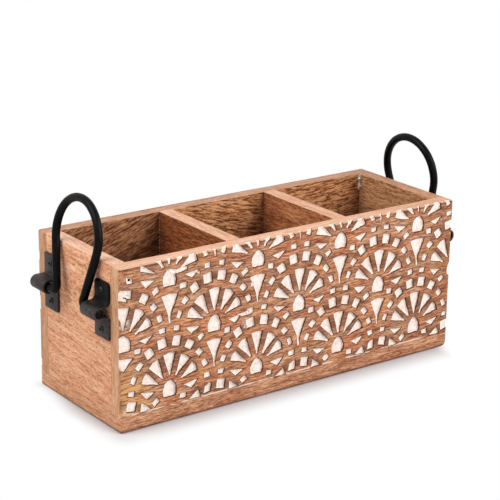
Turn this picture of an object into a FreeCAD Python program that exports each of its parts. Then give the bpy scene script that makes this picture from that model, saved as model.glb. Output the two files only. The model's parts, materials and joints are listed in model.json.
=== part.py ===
"""Utensil caddy: a nailed wooden box with carved long sides and a swinging iron handle at each end.

Millimetres. The origin is on the floor under the middle of the box. X runs along the length, the
carved front faces -Y and Z is up. Left is -X, seen from the front.
"""
import FreeCAD
import Part
import math
import os

from FreeCAD import Vector

# Box of half-inch boards
LENGTH = 330.0
DEPTH = 120.0
HEIGHT = 131.0
SIDE_BOARD = 12.7
END_BOARD = 12.7
DIVIDER_BOARD = 12.7
BASE_BOARD = 12.7
COMPARTMENTS = 3
EDGE_ROUND = 1.5
BASE_ROUND = 2.5
DIVIDER_EASE = 0.8

# Carving: fans in offset rows, each fan a dome, petals and a ring of blocks
CARVE_DEPTH = 2.0
FAN_PITCH = 82.5
ROW_PITCH = 44.65
FIRST_ROW = 27.3
PATTERN_SHIFT = 2.5
DOME_WIDTH = 12.4
DOME_HEIGHT = 13.4
DOME_OUTLINE_SHARES = (
    (-0.4, -0.485), (0.4, -0.485), (0.475, -0.3), (0.5, -0.075), (0.46, 0.15), (0.355, 0.335), (0.195, 0.47),
    (0.0, 0.515), (-0.195, 0.47), (-0.355, 0.335), (-0.46, 0.15), (-0.5, -0.075), (-0.475, -0.3),
)
PETAL_INNER = 12.2
PETAL_OUTER = 29.0
PETAL_ROOT = 2.0
PETAL_TIP = 10.0
PETAL_CROWN = 1.0
# Angle from upright in degrees, then the inner and outer radius, root and tip as shares of the sizes above
PETAL_SHARES = (
    (0.0, 0.9, 1.0, 0.8, 1.04),
    (32.0, 0.95, 0.98, 1.1, 0.94),
    (60.0, 1.05, 0.95, 1.0, 0.87),
)
LEAF_INNER = 13.6
LEAF_OUTER = 26.0
LEAF_WIDTH = 5.8
LEAF_DROP = 0.8
LEAF_HEEL_SHARE = 0.55
RING_RADIUS = 37.0
BLOCK_WIDTH = 7.0
BLOCK_HEIGHT = 7.2
# Angle from upright in degrees, then the radius, width and height as shares of the three sizes above
RING_BLOCK_SHARES = (
    (10.0, 1.035, 1.0, 1.0),
    (29.5, 1.005, 0.91, 0.94),
    (48.5, 0.98, 0.74, 0.58),
    (67.0, 0.955, 0.74, 0.49),
    (84.5, 0.94, 0.49, 0.67),
)
CHIP_ANGLE = 124.0
CHIP_RADIUS = 15.0
CHIP_WIDTH = 3.6
CHIP_HEIGHT = 5.2
WEDGE_TOP = 13.0
WEDGE_NECK = 27.5
WEDGE_TAIL = 35.5
WEDGE_WIDTH = 14.2
WEDGE_NECK_WIDTH = 3.8
WEDGE_CROWN = 1.2
BACK_LIP = 2.0

# Iron straps, each bent out into a loop round a pin of the handle
STRAP_WIDTH = 20.0
STRAP_HEIGHT = 45.0
STRAP_THICKNESS = 2.0
STRAP_WIDE_BEND = 4.0
STRAP_TIGHT_BEND = 1.0
STRAP_ROUND_CORNER = 3.0
STRAP_SQUARE_CORNER = 0.8
STRAP_SCREW_SPACING = 31.0
PIN_DROP = 37.0
PIN_OFFSET = 9.4
PIN_CLEARANCE = 0.35

# Handles of round rod, slid along their pins, the right one standing off the rim by an angle in degrees
ROD = 6.6
ARCH_HEIGHT = 47.8
LEG_SLANT = 15.0
FOOT_BEND = 4.2
SHOULDER_GAP = 3.3
LEFT_SLIDE = 2.9
RIGHT_SLIDE = 0.2
RIGHT_STAND = 3.1
PIN_SHORT = 3.0
PIN_EASE = 0.6
REST_GAP = 0.3

# Round-headed screws of the straps
SCREW_HEAD = 5.0
SCREW_DOME = 1.6
SCREW_DOME_SHARES = ((0.0, 1.0), (0.5, 0.9), (0.86, 0.5), (1.0, 0.0))
SCREW_SHANK = 3.0
SCREW_LENGTH = 11.0
SCREW_POINT = 2.5
SCREW_CLEARANCE = 0.15

# Nails of flat wire with a tee head, set below the surface
NAIL_WIDTH = 1.25
NAIL_THICKNESS = 1.05
NAIL_HEAD = 2.0
NAIL_HEAD_HEIGHT = 1.2
NAIL_LENGTH = 32.0
NAIL_POINT = 1.6
NAIL_CLEARANCE = 0.05
NAIL_SET = 3.2
BASE_NAIL_SET = 1.0
TOP_NAIL_DROP = 9.4
LOW_NAIL_RISE = 14.2
BASE_NAIL_SHARES = (-0.42, -0.14, 0.14, 0.42)

OVERRUN = 1.0
NEAR = 0.01

# Places worked out from the sizes above
HALF_LENGTH = LENGTH / 2
HALF_DEPTH = DEPTH / 2
INNER_LENGTH = HALF_LENGTH - END_BOARD
INNER_DEPTH = HALF_DEPTH - SIDE_BOARD
PIN_HEIGHT = HEIGHT - PIN_DROP
STRAP_INNER = INNER_DEPTH - STRAP_WIDTH
STRAP_MIDDLE = INNER_DEPTH - STRAP_WIDTH / 2
LOOP_INNER = ROD / 2 + PIN_CLEARANCE
LOOP_OUTER = LOOP_INNER + STRAP_THICKNESS
ORIGIN = Vector(0, 0, 0)
ALONG = Vector(1, 0, 0)
INWARD = Vector(0, 1, 0)
UP = Vector(0, 0, 1)


def board(low_x, high_x, low_y, high_y, low_z, high_z):
    return Part.makeBox(high_x - low_x, high_y - low_y, high_z - low_z, Vector(low_x, low_y, low_z))


def rounded(solid, radius, chosen):
    """Rounds the edges whose middle passes the test."""
    return solid.makeFillet(radius, [edge for edge in solid.Edges if chosen(edge.CenterOfMass)])


def turned_round(shape):
    """The same piece at the opposite end and side of the box."""
    copy = shape.copy()
    copy.rotate(ORIGIN, UP, 180)
    return copy


def aimed(solid, place, direction):
    """Moves a piece drawn along +Z so that it starts at a place and points in a direction."""
    copy = solid.copy()
    copy.Placement = FreeCAD.Placement(place, FreeCAD.Rotation(UP, direction))
    return copy


def spun(profile):
    """Turns a half profile of (radius, height) points about the Z axis."""
    points = [Vector(radius, 0, height) for radius, height in profile]
    face = Part.Face(Part.makePolygon(points + points[:1]))
    return face.revolve(ORIGIN, UP, 360)


# Carving

def swung(points, angle):
    """Swings points drawn above the dome clockwise about its middle."""
    turn = math.radians(angle)
    cos, sin = math.cos(turn), math.sin(turn)
    return [(across * cos + out * sin, out * cos - across * sin) for across, out in points]


def mirrored(points):
    return [(-across, out) for across, out in reversed(points)]


def petal(inner, outer, root, tip):
    return [
        (-root / 2, inner),
        (-tip / 2, outer - PETAL_CROWN),
        (0, outer),
        (tip / 2, outer - PETAL_CROWN),
        (root / 2, inner),
    ]


def block(radius, width, height):
    low, high = radius - height / 2, radius + height / 2
    return [(-width / 2, low), (-width / 2, high), (width / 2, high), (width / 2, low)]


def leaf():
    heel = LEAF_INNER + (LEAF_OUTER - LEAF_INNER) * LEAF_HEEL_SHARE
    return [(0, LEAF_INNER), (LEAF_DROP - LEAF_WIDTH / 2, LEAF_OUTER), (LEAF_DROP + LEAF_WIDTH / 2, heel)]


def level_chip():
    """The chip right of a dome's foot, which lies level where the left one points to the dome."""
    turn = math.radians(CHIP_ANGLE)
    across, out = CHIP_RADIUS * math.sin(turn), CHIP_RADIUS * math.cos(turn)
    return [(across + x, out + z) for x, z in block(0, CHIP_HEIGHT, CHIP_WIDTH)]


def wedge():
    return [
        (0, -WEDGE_TAIL),
        (-WEDGE_NECK_WIDTH / 2, -WEDGE_NECK),
        (-WEDGE_WIDTH / 2, -WEDGE_TOP - WEDGE_CROWN),
        (0, -WEDGE_TOP),
        (WEDGE_WIDTH / 2, -WEDGE_TOP - WEDGE_CROWN),
        (WEDGE_NECK_WIDTH / 2, -WEDGE_NECK),
    ]


def fan():
    """Outlines of the recesses round one dome, with the dome's middle at zero."""
    dome = [(DOME_WIDTH * across, DOME_HEIGHT * out) for across, out in DOME_OUTLINE_SHARES]
    petals = []
    for angle, inner, outer, root, tip in PETAL_SHARES:
        cut = petal(PETAL_INNER * inner, PETAL_OUTER * outer, PETAL_ROOT * root, PETAL_TIP * tip)
        petals.append(swung(cut, angle))
    middle_petal, *side_petals = petals
    right = side_petals + [swung(leaf(), 90)]
    for angle, radius, width, height in RING_BLOCK_SHARES:
        cut = block(RING_RADIUS * radius, BLOCK_WIDTH * width, BLOCK_HEIGHT * height)
        right.append(swung(cut, angle))
    left_chip = swung(block(CHIP_RADIUS, CHIP_WIDTH, CHIP_HEIGHT), -CHIP_ANGLE)
    single = [dome, middle_petal, wedge(), left_chip, level_chip()]
    return single + right + [mirrored(outline) for outline in right]


def fan_places():
    """Middles of all domes whose fans can reach the panel, in rows offset by half a pitch."""
    reach = RING_RADIUS + BLOCK_HEIGHT
    rows = range(-math.ceil(reach / ROW_PITCH), math.ceil((HEIGHT + reach) / ROW_PITCH))
    columns = math.ceil((HALF_LENGTH + reach) / FAN_PITCH)
    for row in rows:
        for column in range(-columns, columns + 1):
            offset = 0.5 if row % 2 == 0 else 0.0
            yield FAN_PITCH * (column + offset) + PATTERN_SHIFT, FIRST_ROW + ROW_PITCH * row


def on_panel(x, z):
    inside_length = abs(x) < HALF_LENGTH - EDGE_ROUND
    return inside_length and BASE_BOARD + EDGE_ROUND < z < HEIGHT - EDGE_ROUND


def below(corners, top):
    """The part of an outline below a height."""
    kept = []
    for (x, z), (next_x, next_z) in zip(corners, corners[1:] + corners[:1]):
        if z <= top:
            kept.append((x, z))
        if (z <= top) != (next_z <= top):
            kept.append((x + (next_x - x) * (top - z) / (next_z - z), top))
    return kept


def recesses(top):
    """One cutter, ending below a height, for each recess with at least two corners on the front panel."""
    outlines = fan()
    face_y = -HALF_DEPTH - OVERRUN
    cutters = []
    for middle_x, middle_z in fan_places():
        for outline in outlines:
            corners = [(middle_x + across, middle_z + out) for across, out in outline]
            if sum(on_panel(x, z) for x, z in corners) >= 2:
                points = [Vector(x, face_y, z) for x, z in below(corners, top)]
                face = Part.Face(Part.makePolygon(points + points[:1]))
                cutters.append(face.extrude(INWARD * (CARVE_DEPTH + OVERRUN)))
    return cutters


# Fasteners

def tee_profile(head, shank, start, stop, point):
    """Flat tee outline with its head's underside below zero and its shank ending at a point or square."""
    return [
        (-head / 2, start),
        (head / 2, start),
        (head / 2, NAIL_HEAD_HEIGHT),
        (shank / 2, NAIL_HEAD_HEIGHT),
        (shank / 2, stop - point),
        (0, stop),
        (-shank / 2, stop - point),
        (-shank / 2, NAIL_HEAD_HEIGHT),
        (-head / 2, NAIL_HEAD_HEIGHT),
    ]


def flat_tee(profile, thickness):
    points = [Vector(across, -thickness / 2, along) for across, along in profile]
    return Part.Face(Part.makePolygon(points + points[:1])).extrude(INWARD * thickness)


def nail():
    """Nail drawn with the top of its head at zero and its point along +Z."""
    return flat_tee(tee_profile(NAIL_HEAD, NAIL_WIDTH, 0, NAIL_LENGTH, NAIL_POINT), NAIL_THICKNESS)


def nail_hole(depth):
    """Hole of a nail whose head is set to a depth, drawn from the top of its head."""
    room = 2 * NAIL_CLEARANCE
    profile = tee_profile(NAIL_HEAD + room, NAIL_WIDTH + room, -depth - OVERRUN, NAIL_LENGTH, NAIL_POINT)
    return flat_tee(profile, NAIL_THICKNESS + room)


def panel_nail_places():
    """Heads of the nails through the front panel into the middle of each end board."""
    low = BASE_BOARD + LOW_NAIL_RISE
    low_screw = PIN_HEIGHT - STRAP_SCREW_SPACING / 2
    heights = (low, (low + low_screw) / 2, HEIGHT - TOP_NAIL_DROP)
    end_middle = HALF_LENGTH - END_BOARD / 2
    return [Vector(x, -HALF_DEPTH + NAIL_SET, z) for x in (-end_middle, end_middle) for z in heights]


def base_nail_places():
    """Heads of the nails up through the base board into the panels and end boards."""
    side_middle = HALF_DEPTH - SIDE_BOARD / 2
    end_middle = HALF_LENGTH - END_BOARD / 2
    places = [(LENGTH * share, y) for y in (-side_middle, side_middle) for share in BASE_NAIL_SHARES]
    places += [(-end_middle, 0), (end_middle, 0)]
    return [Vector(x, y, BASE_NAIL_SET) for x, y in places]


def screw():
    """Round-headed screw drawn with the underside of its head at zero and its point along +Z."""
    head = [(SCREW_HEAD / 2 * across, -SCREW_DOME * high) for across, high in SCREW_DOME_SHARES]
    return spun(head + [
        (SCREW_SHANK / 2, 0),
        (SCREW_SHANK / 2, SCREW_LENGTH - SCREW_POINT),
        (0, SCREW_LENGTH),
    ])


def screw_hole():
    return Part.makeCylinder(SCREW_SHANK / 2 + SCREW_CLEARANCE, SCREW_LENGTH)


def left_screw_places(y):
    """Undersides of the two screw heads of a strap on the left end."""
    x = -HALF_LENGTH - STRAP_THICKNESS
    return [Vector(x, y, PIN_HEIGHT + side * STRAP_SCREW_SPACING / 2) for side in (-1, 1)]


# Boards

def base_board():
    plain = board(-HALF_LENGTH, HALF_LENGTH, -HALF_DEPTH, HALF_DEPTH, 0, BASE_BOARD)
    return rounded(plain, BASE_ROUND, lambda middle: middle.z < BASE_BOARD - NEAR)


def front_board():
    plain = board(-HALF_LENGTH, HALF_LENGTH, -HALF_DEPTH, -INNER_DEPTH, BASE_BOARD, HEIGHT)

    def worn(middle):
        on_face = middle.y < -HALF_DEPTH + NEAR and middle.z > BASE_BOARD + NEAR
        return on_face or (abs(middle.x) > HALF_LENGTH - NEAR and middle.z > HEIGHT - NEAR)

    return rounded(plain, EDGE_ROUND, worn)


def left_end_board():
    plain = board(-HALF_LENGTH, -INNER_LENGTH, -INNER_DEPTH, INNER_DEPTH, BASE_BOARD, HEIGHT)
    return rounded(
        plain, EDGE_ROUND, lambda middle: middle.x < -HALF_LENGTH + NEAR and middle.z > HEIGHT - NEAR
    )


def divider(number):
    """Divider board after a number of compartments, counted from the left."""
    room = (2 * INNER_LENGTH - (COMPARTMENTS - 1) * DIVIDER_BOARD) / COMPARTMENTS
    low = -INNER_LENGTH + number * room + (number - 1) * DIVIDER_BOARD
    plain = board(low, low + DIVIDER_BOARD, -INNER_DEPTH, INNER_DEPTH, BASE_BOARD, HEIGHT)
    high_edge = HEIGHT - NEAR
    return rounded(
        plain, DIVIDER_EASE, lambda middle: middle.z > high_edge and abs(middle.y) < INNER_DEPTH - NEAR
    )


# Iron

def strap_half(bend, side):
    """Edges of a strap's face and back from its end, above or below the loop, to the loop's nose."""
    end = side * STRAP_HEIGHT / 2
    bend_high = LOOP_OUTER + bend
    bend_out = STRAP_THICKNESS + bend
    bow = math.sqrt(0.5)

    def at(out, high):
        return Vector(PIN_OFFSET - out, -STRAP_WIDTH / 2, side * high)

    def bent(start_out, radius):
        """A flat run out of the end and a quarter bend round the corner's centre to the loop's leg."""
        start = at(start_out, bend_high)
        middle = at(bend_out - radius * bow, bend_high - radius * bow)
        stop = at(bend_out, bend_high - radius)
        nose = at(PIN_OFFSET, bend_high - radius)
        flat_end = Vector(start.x, start.y, end)
        return [
            Part.LineSegment(flat_end, start).toShape(),
            Part.Arc(start, middle, stop).toShape(),
            Part.LineSegment(stop, nose).toShape(),
        ]

    tip = Part.LineSegment(at(0, abs(end)), at(STRAP_THICKNESS, abs(end))).toShape()
    return [tip] + bent(STRAP_THICKNESS, bend) + bent(0, bend_out)


def left_strap(top_bend, top_corner):
    """Strap of the left end, its pin axis at zero and its middle on the XZ plane."""
    front_y = -STRAP_WIDTH / 2
    edges = strap_half(top_bend, 1) + strap_half(STRAP_TIGHT_BEND, -1)
    for radius in (LOOP_INNER, LOOP_OUTER):
        top, nose, low = Vector(0, front_y, radius), Vector(-radius, front_y, 0), Vector(0, front_y, -radius)
        edges.append(Part.Arc(top, nose, low).toShape())
    outline = Part.Wire(Part.__sortEdges__(edges))
    strip = Part.Face(outline).extrude(INWARD * STRAP_WIDTH)
    end = STRAP_HEIGHT / 2

    def corner(middle, side):
        return side * middle.z > end - NEAR and abs(middle.y) > STRAP_WIDTH / 2 - NEAR

    strip = rounded(strip, top_corner, lambda middle: corner(middle, 1))
    return rounded(strip, STRAP_SQUARE_CORNER, lambda middle: corner(middle, -1))


def drilled_strap(y, top_bend, top_corner):
    """Strap in place on the left end, with its screw holes."""
    strap = left_strap(top_bend, top_corner)
    strap.translate(Vector(-HALF_LENGTH - PIN_OFFSET, y, PIN_HEIGHT))
    return strap.cut([aimed(screw_hole(), place, ALONG) for place in left_screw_places(y)])


def lean():
    """Angle in degrees at which a handle leans in on the rounded rim of the end board."""
    out = PIN_OFFSET + EDGE_ROUND
    high = PIN_DROP - EDGE_ROUND
    touch = math.asin((ROD / 2 + REST_GAP + EDGE_ROUND) / math.hypot(out, high))
    return math.degrees(math.atan2(out, high) - touch)


def arch_radius():
    """Radius of the arch whose tangent legs slant in to the feet beside the straps."""
    return (foot() + ARCH_HEIGHT * math.tan(math.radians(LEG_SLANT))) * math.cos(math.radians(LEG_SLANT))


def foot_reach():
    """Length along the pin, or along the leg, that a foot's bend takes up."""
    return FOOT_BEND * math.tan(math.radians(90 + LEG_SLANT) / 2)


def foot():
    """Distance from the middle to the corner where a leg's line meets the pin's line."""
    return STRAP_INNER - SHOULDER_GAP - foot_reach()


def swing_limit():
    """Swing in degrees from rest until the hanging arch meets the end board's face."""
    hang = math.asin((PIN_OFFSET - ROD / 2 - REST_GAP) / (ARCH_HEIGHT + arch_radius()))
    return lean() + 180 + math.degrees(hang)


def handle(angle, slide):
    """Rod of the left end, bent to an arch whose legs slant in to feet that turn out as pins.

    It leans in by the angle in degrees and is slid to the front.
    """
    slant = math.radians(LEG_SLANT)
    radius = arch_radius()
    reach = foot_reach()
    corner = Vector(0, foot(), 0)
    pin_end = Vector(0, INNER_DEPTH - PIN_SHORT, 0)
    bend_start = corner + INWARD * reach
    bend_stop = corner + Vector(0, reach * math.sin(slant), reach * math.cos(slant))
    bend_centre = bend_start + UP * FOOT_BEND
    bend_middle = bend_centre + (corner - bend_centre).normalize() * FOOT_BEND
    leg_top = Vector(0, radius * math.cos(slant), ARCH_HEIGHT - radius * math.sin(slant))
    arch_top = UP * (ARCH_HEIGHT + radius)

    def front(point):
        return Vector(0, -point.y, point.z)

    path = Part.Wire([
        Part.LineSegment(front(pin_end), front(bend_start)).toShape(),
        Part.Arc(front(bend_start), front(bend_middle), front(bend_stop)).toShape(),
        Part.LineSegment(front(bend_stop), front(leg_top)).toShape(),
        Part.Arc(front(leg_top), arch_top, leg_top).toShape(),
        Part.LineSegment(leg_top, bend_stop).toShape(),
        Part.Arc(bend_stop, bend_middle, bend_start).toShape(),
        Part.LineSegment(bend_start, pin_end).toShape(),
    ])
    section = Part.Wire(Part.makeCircle(ROD / 2, front(pin_end), INWARD))
    rod = path.makePipeShell([section], True, False)
    pin_rims = [edge for edge in rod.Edges if abs(edge.CenterOfMass.y) > pin_end.y - NEAR]
    rod = rod.makeChamfer(PIN_EASE, pin_rims)
    rod.rotate(ORIGIN, INWARD, angle)
    rod.translate(Vector(-HALF_LENGTH - PIN_OFFSET, -slide, PIN_HEIGHT))
    return rod


# Whole part

def caddy():
    """All pieces by name."""
    straps = {
        "front": (-STRAP_MIDDLE, STRAP_WIDE_BEND, STRAP_ROUND_CORNER),
        "rear": (STRAP_MIDDLE, STRAP_TIGHT_BEND, STRAP_SQUARE_CORNER),
    }
    panel_nail_heads = panel_nail_places()
    base_nail_heads = base_nail_places()
    screw_heads = [place for y, bend, corner in straps.values() for place in left_screw_places(y)]
    panel_holes = [aimed(nail_hole(NAIL_SET), place, INWARD) for place in panel_nail_heads]
    base_holes = [aimed(nail_hole(BASE_NAIL_SET), place, UP) for place in base_nail_heads]
    end_holes = [aimed(screw_hole(), place, ALONG) for place in screw_heads]
    back_holes = [turned_round(hole) for hole in panel_holes]

    front_panel = front_board().cut(recesses(HEIGHT + OVERRUN) + panel_holes)
    back_panel = turned_round(front_board().cut(recesses(HEIGHT - BACK_LIP) + panel_holes))
    front_nails = Part.makeCompound([aimed(nail(), place, INWARD) for place in panel_nail_heads])
    left_end = left_end_board().cut(end_holes)
    nodes = {
        "base_board": base_board().cut(base_holes),
        "front_panel": front_panel.cut(base_holes),
        "back_panel": back_panel.cut(base_holes),
        "left_end_panel": left_end.cut(panel_holes + back_holes + base_holes),
        "right_end_panel": turned_round(left_end).cut(panel_holes + back_holes + base_holes),
        "left_divider": divider(1),
        "right_divider": divider(COMPARTMENTS - 1),
        "left_handle": handle(lean(), LEFT_SLIDE),
        "right_handle": turned_round(handle(lean() - RIGHT_STAND, RIGHT_SLIDE)),
        "front_panel_nails": front_nails,
        "back_panel_nails": turned_round(front_nails),
        "base_nails": Part.makeCompound([aimed(nail(), place, UP) for place in base_nail_heads]),
    }
    opposite = {"front": "rear", "rear": "front"}
    for side, (y, top_bend, top_corner) in straps.items():
        strap = drilled_strap(y, top_bend, top_corner)
        screws = Part.makeCompound([aimed(screw(), place, ALONG) for place in left_screw_places(y)])
        nodes["left_" + side + "_strap"] = strap
        nodes["left_" + side + "_strap_screws"] = screws
        nodes["right_" + opposite[side] + "_strap"] = turned_round(strap)
        nodes["right_" + opposite[side] + "_strap_screws"] = turned_round(screws)
    return nodes


os.makedirs("parts", exist_ok=True)
for name, shape in caddy().items():
    shape.exportStep(os.path.join("parts", name + ".step"))
    print(name, len(shape.Solids), "valid" if shape.isValid() else "NOT VALID", round(shape.Volume, 1))
print("left handle leans", round(lean(), 3), "degrees and swings", round(swing_limit(), 3))
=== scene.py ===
"""Looks of a wooden utensil caddy: carved and painted long sides, plain boards, black iron handles.

The scene is in metres and the mesh code in millimetres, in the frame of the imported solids: X runs
along the caddy, the carved front faces -Y and Z is up. Left is -X, seen from the front.
"""

import json
import math
import random

import bmesh
import bpy
from mathutils import Matrix, Vector, noise
from mathutils.geometry import delaunay_2d_cdt

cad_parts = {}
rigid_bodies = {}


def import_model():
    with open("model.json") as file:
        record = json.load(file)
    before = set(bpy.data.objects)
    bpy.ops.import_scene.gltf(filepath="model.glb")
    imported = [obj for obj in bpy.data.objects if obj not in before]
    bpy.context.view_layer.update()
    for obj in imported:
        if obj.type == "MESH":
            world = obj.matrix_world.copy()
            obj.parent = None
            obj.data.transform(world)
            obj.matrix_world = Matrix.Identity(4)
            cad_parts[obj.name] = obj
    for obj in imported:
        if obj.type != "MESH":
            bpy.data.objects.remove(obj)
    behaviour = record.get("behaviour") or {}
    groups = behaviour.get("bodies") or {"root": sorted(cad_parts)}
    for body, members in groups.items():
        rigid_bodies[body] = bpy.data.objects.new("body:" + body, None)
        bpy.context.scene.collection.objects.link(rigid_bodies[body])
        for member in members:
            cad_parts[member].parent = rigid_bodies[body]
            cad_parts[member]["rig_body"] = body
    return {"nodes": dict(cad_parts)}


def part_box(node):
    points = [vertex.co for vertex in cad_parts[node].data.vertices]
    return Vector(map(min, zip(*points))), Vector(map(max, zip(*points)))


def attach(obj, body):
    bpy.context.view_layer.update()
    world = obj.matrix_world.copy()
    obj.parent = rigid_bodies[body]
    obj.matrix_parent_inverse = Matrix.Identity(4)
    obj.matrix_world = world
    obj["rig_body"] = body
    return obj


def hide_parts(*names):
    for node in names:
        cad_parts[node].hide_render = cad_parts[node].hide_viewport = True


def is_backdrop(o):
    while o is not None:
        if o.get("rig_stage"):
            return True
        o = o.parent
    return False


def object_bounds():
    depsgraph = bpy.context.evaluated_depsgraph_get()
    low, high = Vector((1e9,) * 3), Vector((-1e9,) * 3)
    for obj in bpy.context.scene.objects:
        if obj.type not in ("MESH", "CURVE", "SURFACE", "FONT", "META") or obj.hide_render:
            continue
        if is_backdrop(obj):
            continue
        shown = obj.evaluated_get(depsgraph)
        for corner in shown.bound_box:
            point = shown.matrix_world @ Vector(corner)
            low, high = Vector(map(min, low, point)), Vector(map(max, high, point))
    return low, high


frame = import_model()
cad_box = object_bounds()
# Without a seed, noise_vector differs on every run
noise.seed_set(7)

MM = 0.001
X, Y, Z = range(3)

# Boards
EDGE_ROUND = 1.5
BASE_ROUND = 2.0
BASE_WORN_END = 5.0
BASE_LEVELS = (0.0, 0.2, 0.65, 1.3, 2.2, 3.4, 5.0)
DIVIDER_EASE = 0.8
SEAM_EASE = 0.4
ROUND_STEPS = 4
BOARD_SLICE = 9.0
# How far boards are uneven, how fast that changes and the height from which it is full
BOARD_WAVER = 0.16
WAVER_RATE = 0.035
WAVER_FULL = 6.0
# Edges with a sharper turn than this, in radians, can be eased
SHARP_TURN = 0.8
CLOSE = 0.1
# Angles in degrees above which a mesh is creased
BOARD_CREASE = 35.0
CARVED_CREASE = 32.0
IRON_CREASE = 40.0

# Carving, laid out as in the solids
CARVE_DEPTH = 2.0
FAN_PITCH = 82.5
ROW_PITCH = 44.65
FIRST_ROW = 27.3
PATTERN_SHIFT = 2.5
DOME = (
    (0.0, 6.9), (-2.1, 5.8), (-4.0, 3.8), (-5.4, 1.2), (-6.0, -1.6), (-5.8, -4.2), (-5.0, -6.3),
    (5.0, -6.3), (5.8, -4.2), (6.0, -1.6), (5.4, 1.2), (4.0, 3.8), (2.1, 5.8),
)
# Petals: angle from upright, inner and outer radius, width at the root and at the tip
MIDDLE_PETAL = (0.0, 11.0, 29.0, 0.7, 10.2)
SIDE_PETALS = ((32.0, 11.4, 28.4, 0.8, 9.4), (60.0, 12.4, 27.6, 0.7, 8.7))
PETAL_CROWN = 1.0
LEAF_INNER = 13.6
LEAF_OUTER = 26.0
LEAF_WIDTH = 5.8
LEAF_DROP = 0.8
# Ring blocks: angle from upright, radius, width and height
RING_BLOCKS = (
    (10.0, 38.3, 7.0, 7.2),
    (29.5, 37.2, 6.4, 6.8),
    (48.5, 36.2, 5.2, 4.2),
    (67.0, 35.3, 5.2, 3.5),
    (84.5, 34.8, 3.4, 4.8),
)
LEFT_CHIP = (-124.0, 15.0, 3.6, 5.2)
RIGHT_CHIP = (12.4, -8.4, 5.2, 3.6)
WEDGE_TOP = 13.0
WEDGE_CROWN = 1.2
WEDGE_NECK = 27.5
WEDGE_TAIL = 35.5
WEDGE_WIDTH = 14.2
WEDGE_NECK_WIDTH = 2.6
WEDGE_TAIL_WIDTH = 0.4
BACK_LIP = 2.0
# Shares of the full depth: a petal's root, neck and tip; a leaf's inner and outer point and its heel; a
# wedge's top, neck, mid-tail and tail; a block's least, its gain per millimetre of size and its most
PETAL_SHARES = (0.4, 0.85, 1.0)
LEAF_SHARES = (0.4, 0.5, 0.75)
WEDGE_SHARES = (1.0, 0.8, 0.5, 0.15)
BLOCK_SHARES = (0.35, 0.08, 0.85)
CHIP_SHARE = 0.7
# A petal's neck, as shares of its widening and of its length, and a leaf's heel along its length
PETAL_NECK = (0.16, 0.2)
LEAF_HEEL = 0.55

# The carver's hand
CUT_WANDER = 0.32
CUT_BOW = 0.28
CUT_BOW_LENGTH = 8.0
CUT_STEP = 0.85
CUT_OPENING = 0.52
CUT_DRIFT = Vector((0.65, -0.3))
DEPTH_SPREAD = (0.88, 1.06)
LEAST_DEPTH = 0.3
WALL_LEAN = 0.4
WALL_BARE_SHARE = 0.62
WALL_RAGGED = 0.3
RIM_WEAR = 0.7
RIM_DROP = 0.14
FLOOR_STEP = 2.3
FLOOR_SCATTER = (0.3, 0.7)
FLOOR_CLEAR = 0.95
FLOOR_WAVER = 0.32
HOLE_DEPTH = 3.15
# Lines along the panel's round edges, as shares of the round
EDGE_ROWS = (0.1, 0.35, 0.68, 1.0)
# Ribs between petals and gaps between ring blocks: radii where the stain begins, is full, fades and ends,
# and the angles from upright where it ends and is full
STAIN_ZONES = (
    ((13.0, 18.0, 27.0, 29.8), (75.0, 50.0)),
    ((33.8, 36.0, 40.5, 42.6), (55.0, 35.0)),
)
STAIN_REACH = 43.0

# Ironwork
STRAP_WIDTH = 20.0
STRAP_HEIGHT = 45.0
STRAP_THICKNESS = 2.0
STRAP_WIDE_BEND = 4.0
STRAP_TIGHT_BEND = 1.0
STRAP_ROUND_CORNER = 3.0
STRAP_SQUARE_CORNER = 0.8
STRAP_EASE = 0.45
STRAP_BEATEN = 0.06
STRAP_UNEVEN = 0.012
# Steps along a strap from its upper end and to its lower one
STRAP_TOP_STEPS = (0.0, 0.12, 0.45, 0.9, 1.6, 2.4, 3.0, 5.0, 7.0, 9.0, 11.0)
STRAP_FOOT_STEPS = (12.0, 9.0, 6.0, 3.0, 0.8, 0.5, 0.2, 0.05, 0.0)
PIN_DROP = 37.0
PIN_OFFSET = 9.4
PIN_CLEARANCE = 0.35
PIN_SHORT = 3.0
PIN_TIP_SHARE = 0.74
PIN_CHAMFER = 0.6
PIN_STEPS = 5
ROD = 6.6
ROD_AROUND = 20
# How far the rod's thickness varies, and the share of that near the pins, below a height
ROD_UNEVEN = 0.025
ROD_EVEN_SHARE = 0.3
ROD_EVEN_HEIGHT = 8.0
ARCH_HEIGHT = 47.8
LEG_SLANT = math.radians(15.0)
LEG_STEPS = 12
FOOT_BEND = 4.2
SHOULDER_GAP = 3.3
LEFT_SLIDE = 2.9
RIGHT_SLIDE = 0.2
RIGHT_STAND = math.radians(3.1)
REST_GAP = 0.3
SCREW_SPACING = 31.0
SCREW_HEAD = 5.0
SCREW_DOME = 1.6
SCREW_FLATTER = 0.97
SCREW_ROWS = 14
SCREW_AROUND = 48
SCREW_SHANK = 1.5
SCREW_STUB = 6.0
# The cross recess of a screw: its depth, where the sides and ends of its slots begin and are down, and
# the height on the head below which there is none
CROSS_DEPTH = 1.25
CROSS_SIDE = (0.68, 0.48)
CROSS_END = (1.75, 1.45)
CROSS_LEAST_HEIGHT = 0.4

# Beads of glue: height of the lowest drop, spacing, number, and ranges of half length and radius
DIVIDER_GLUE = (91.0, 3.1, 12, (0.7, 1.7), (0.3, 0.5))
CORNER_GLUE = (117.8, 2.1, 6, (1.6, 2.2), (1.7, 2.7))
GLUE_LUMPS = 0.45


def box_mm(node):
    low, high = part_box(node)
    return low / MM, high / MM


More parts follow.
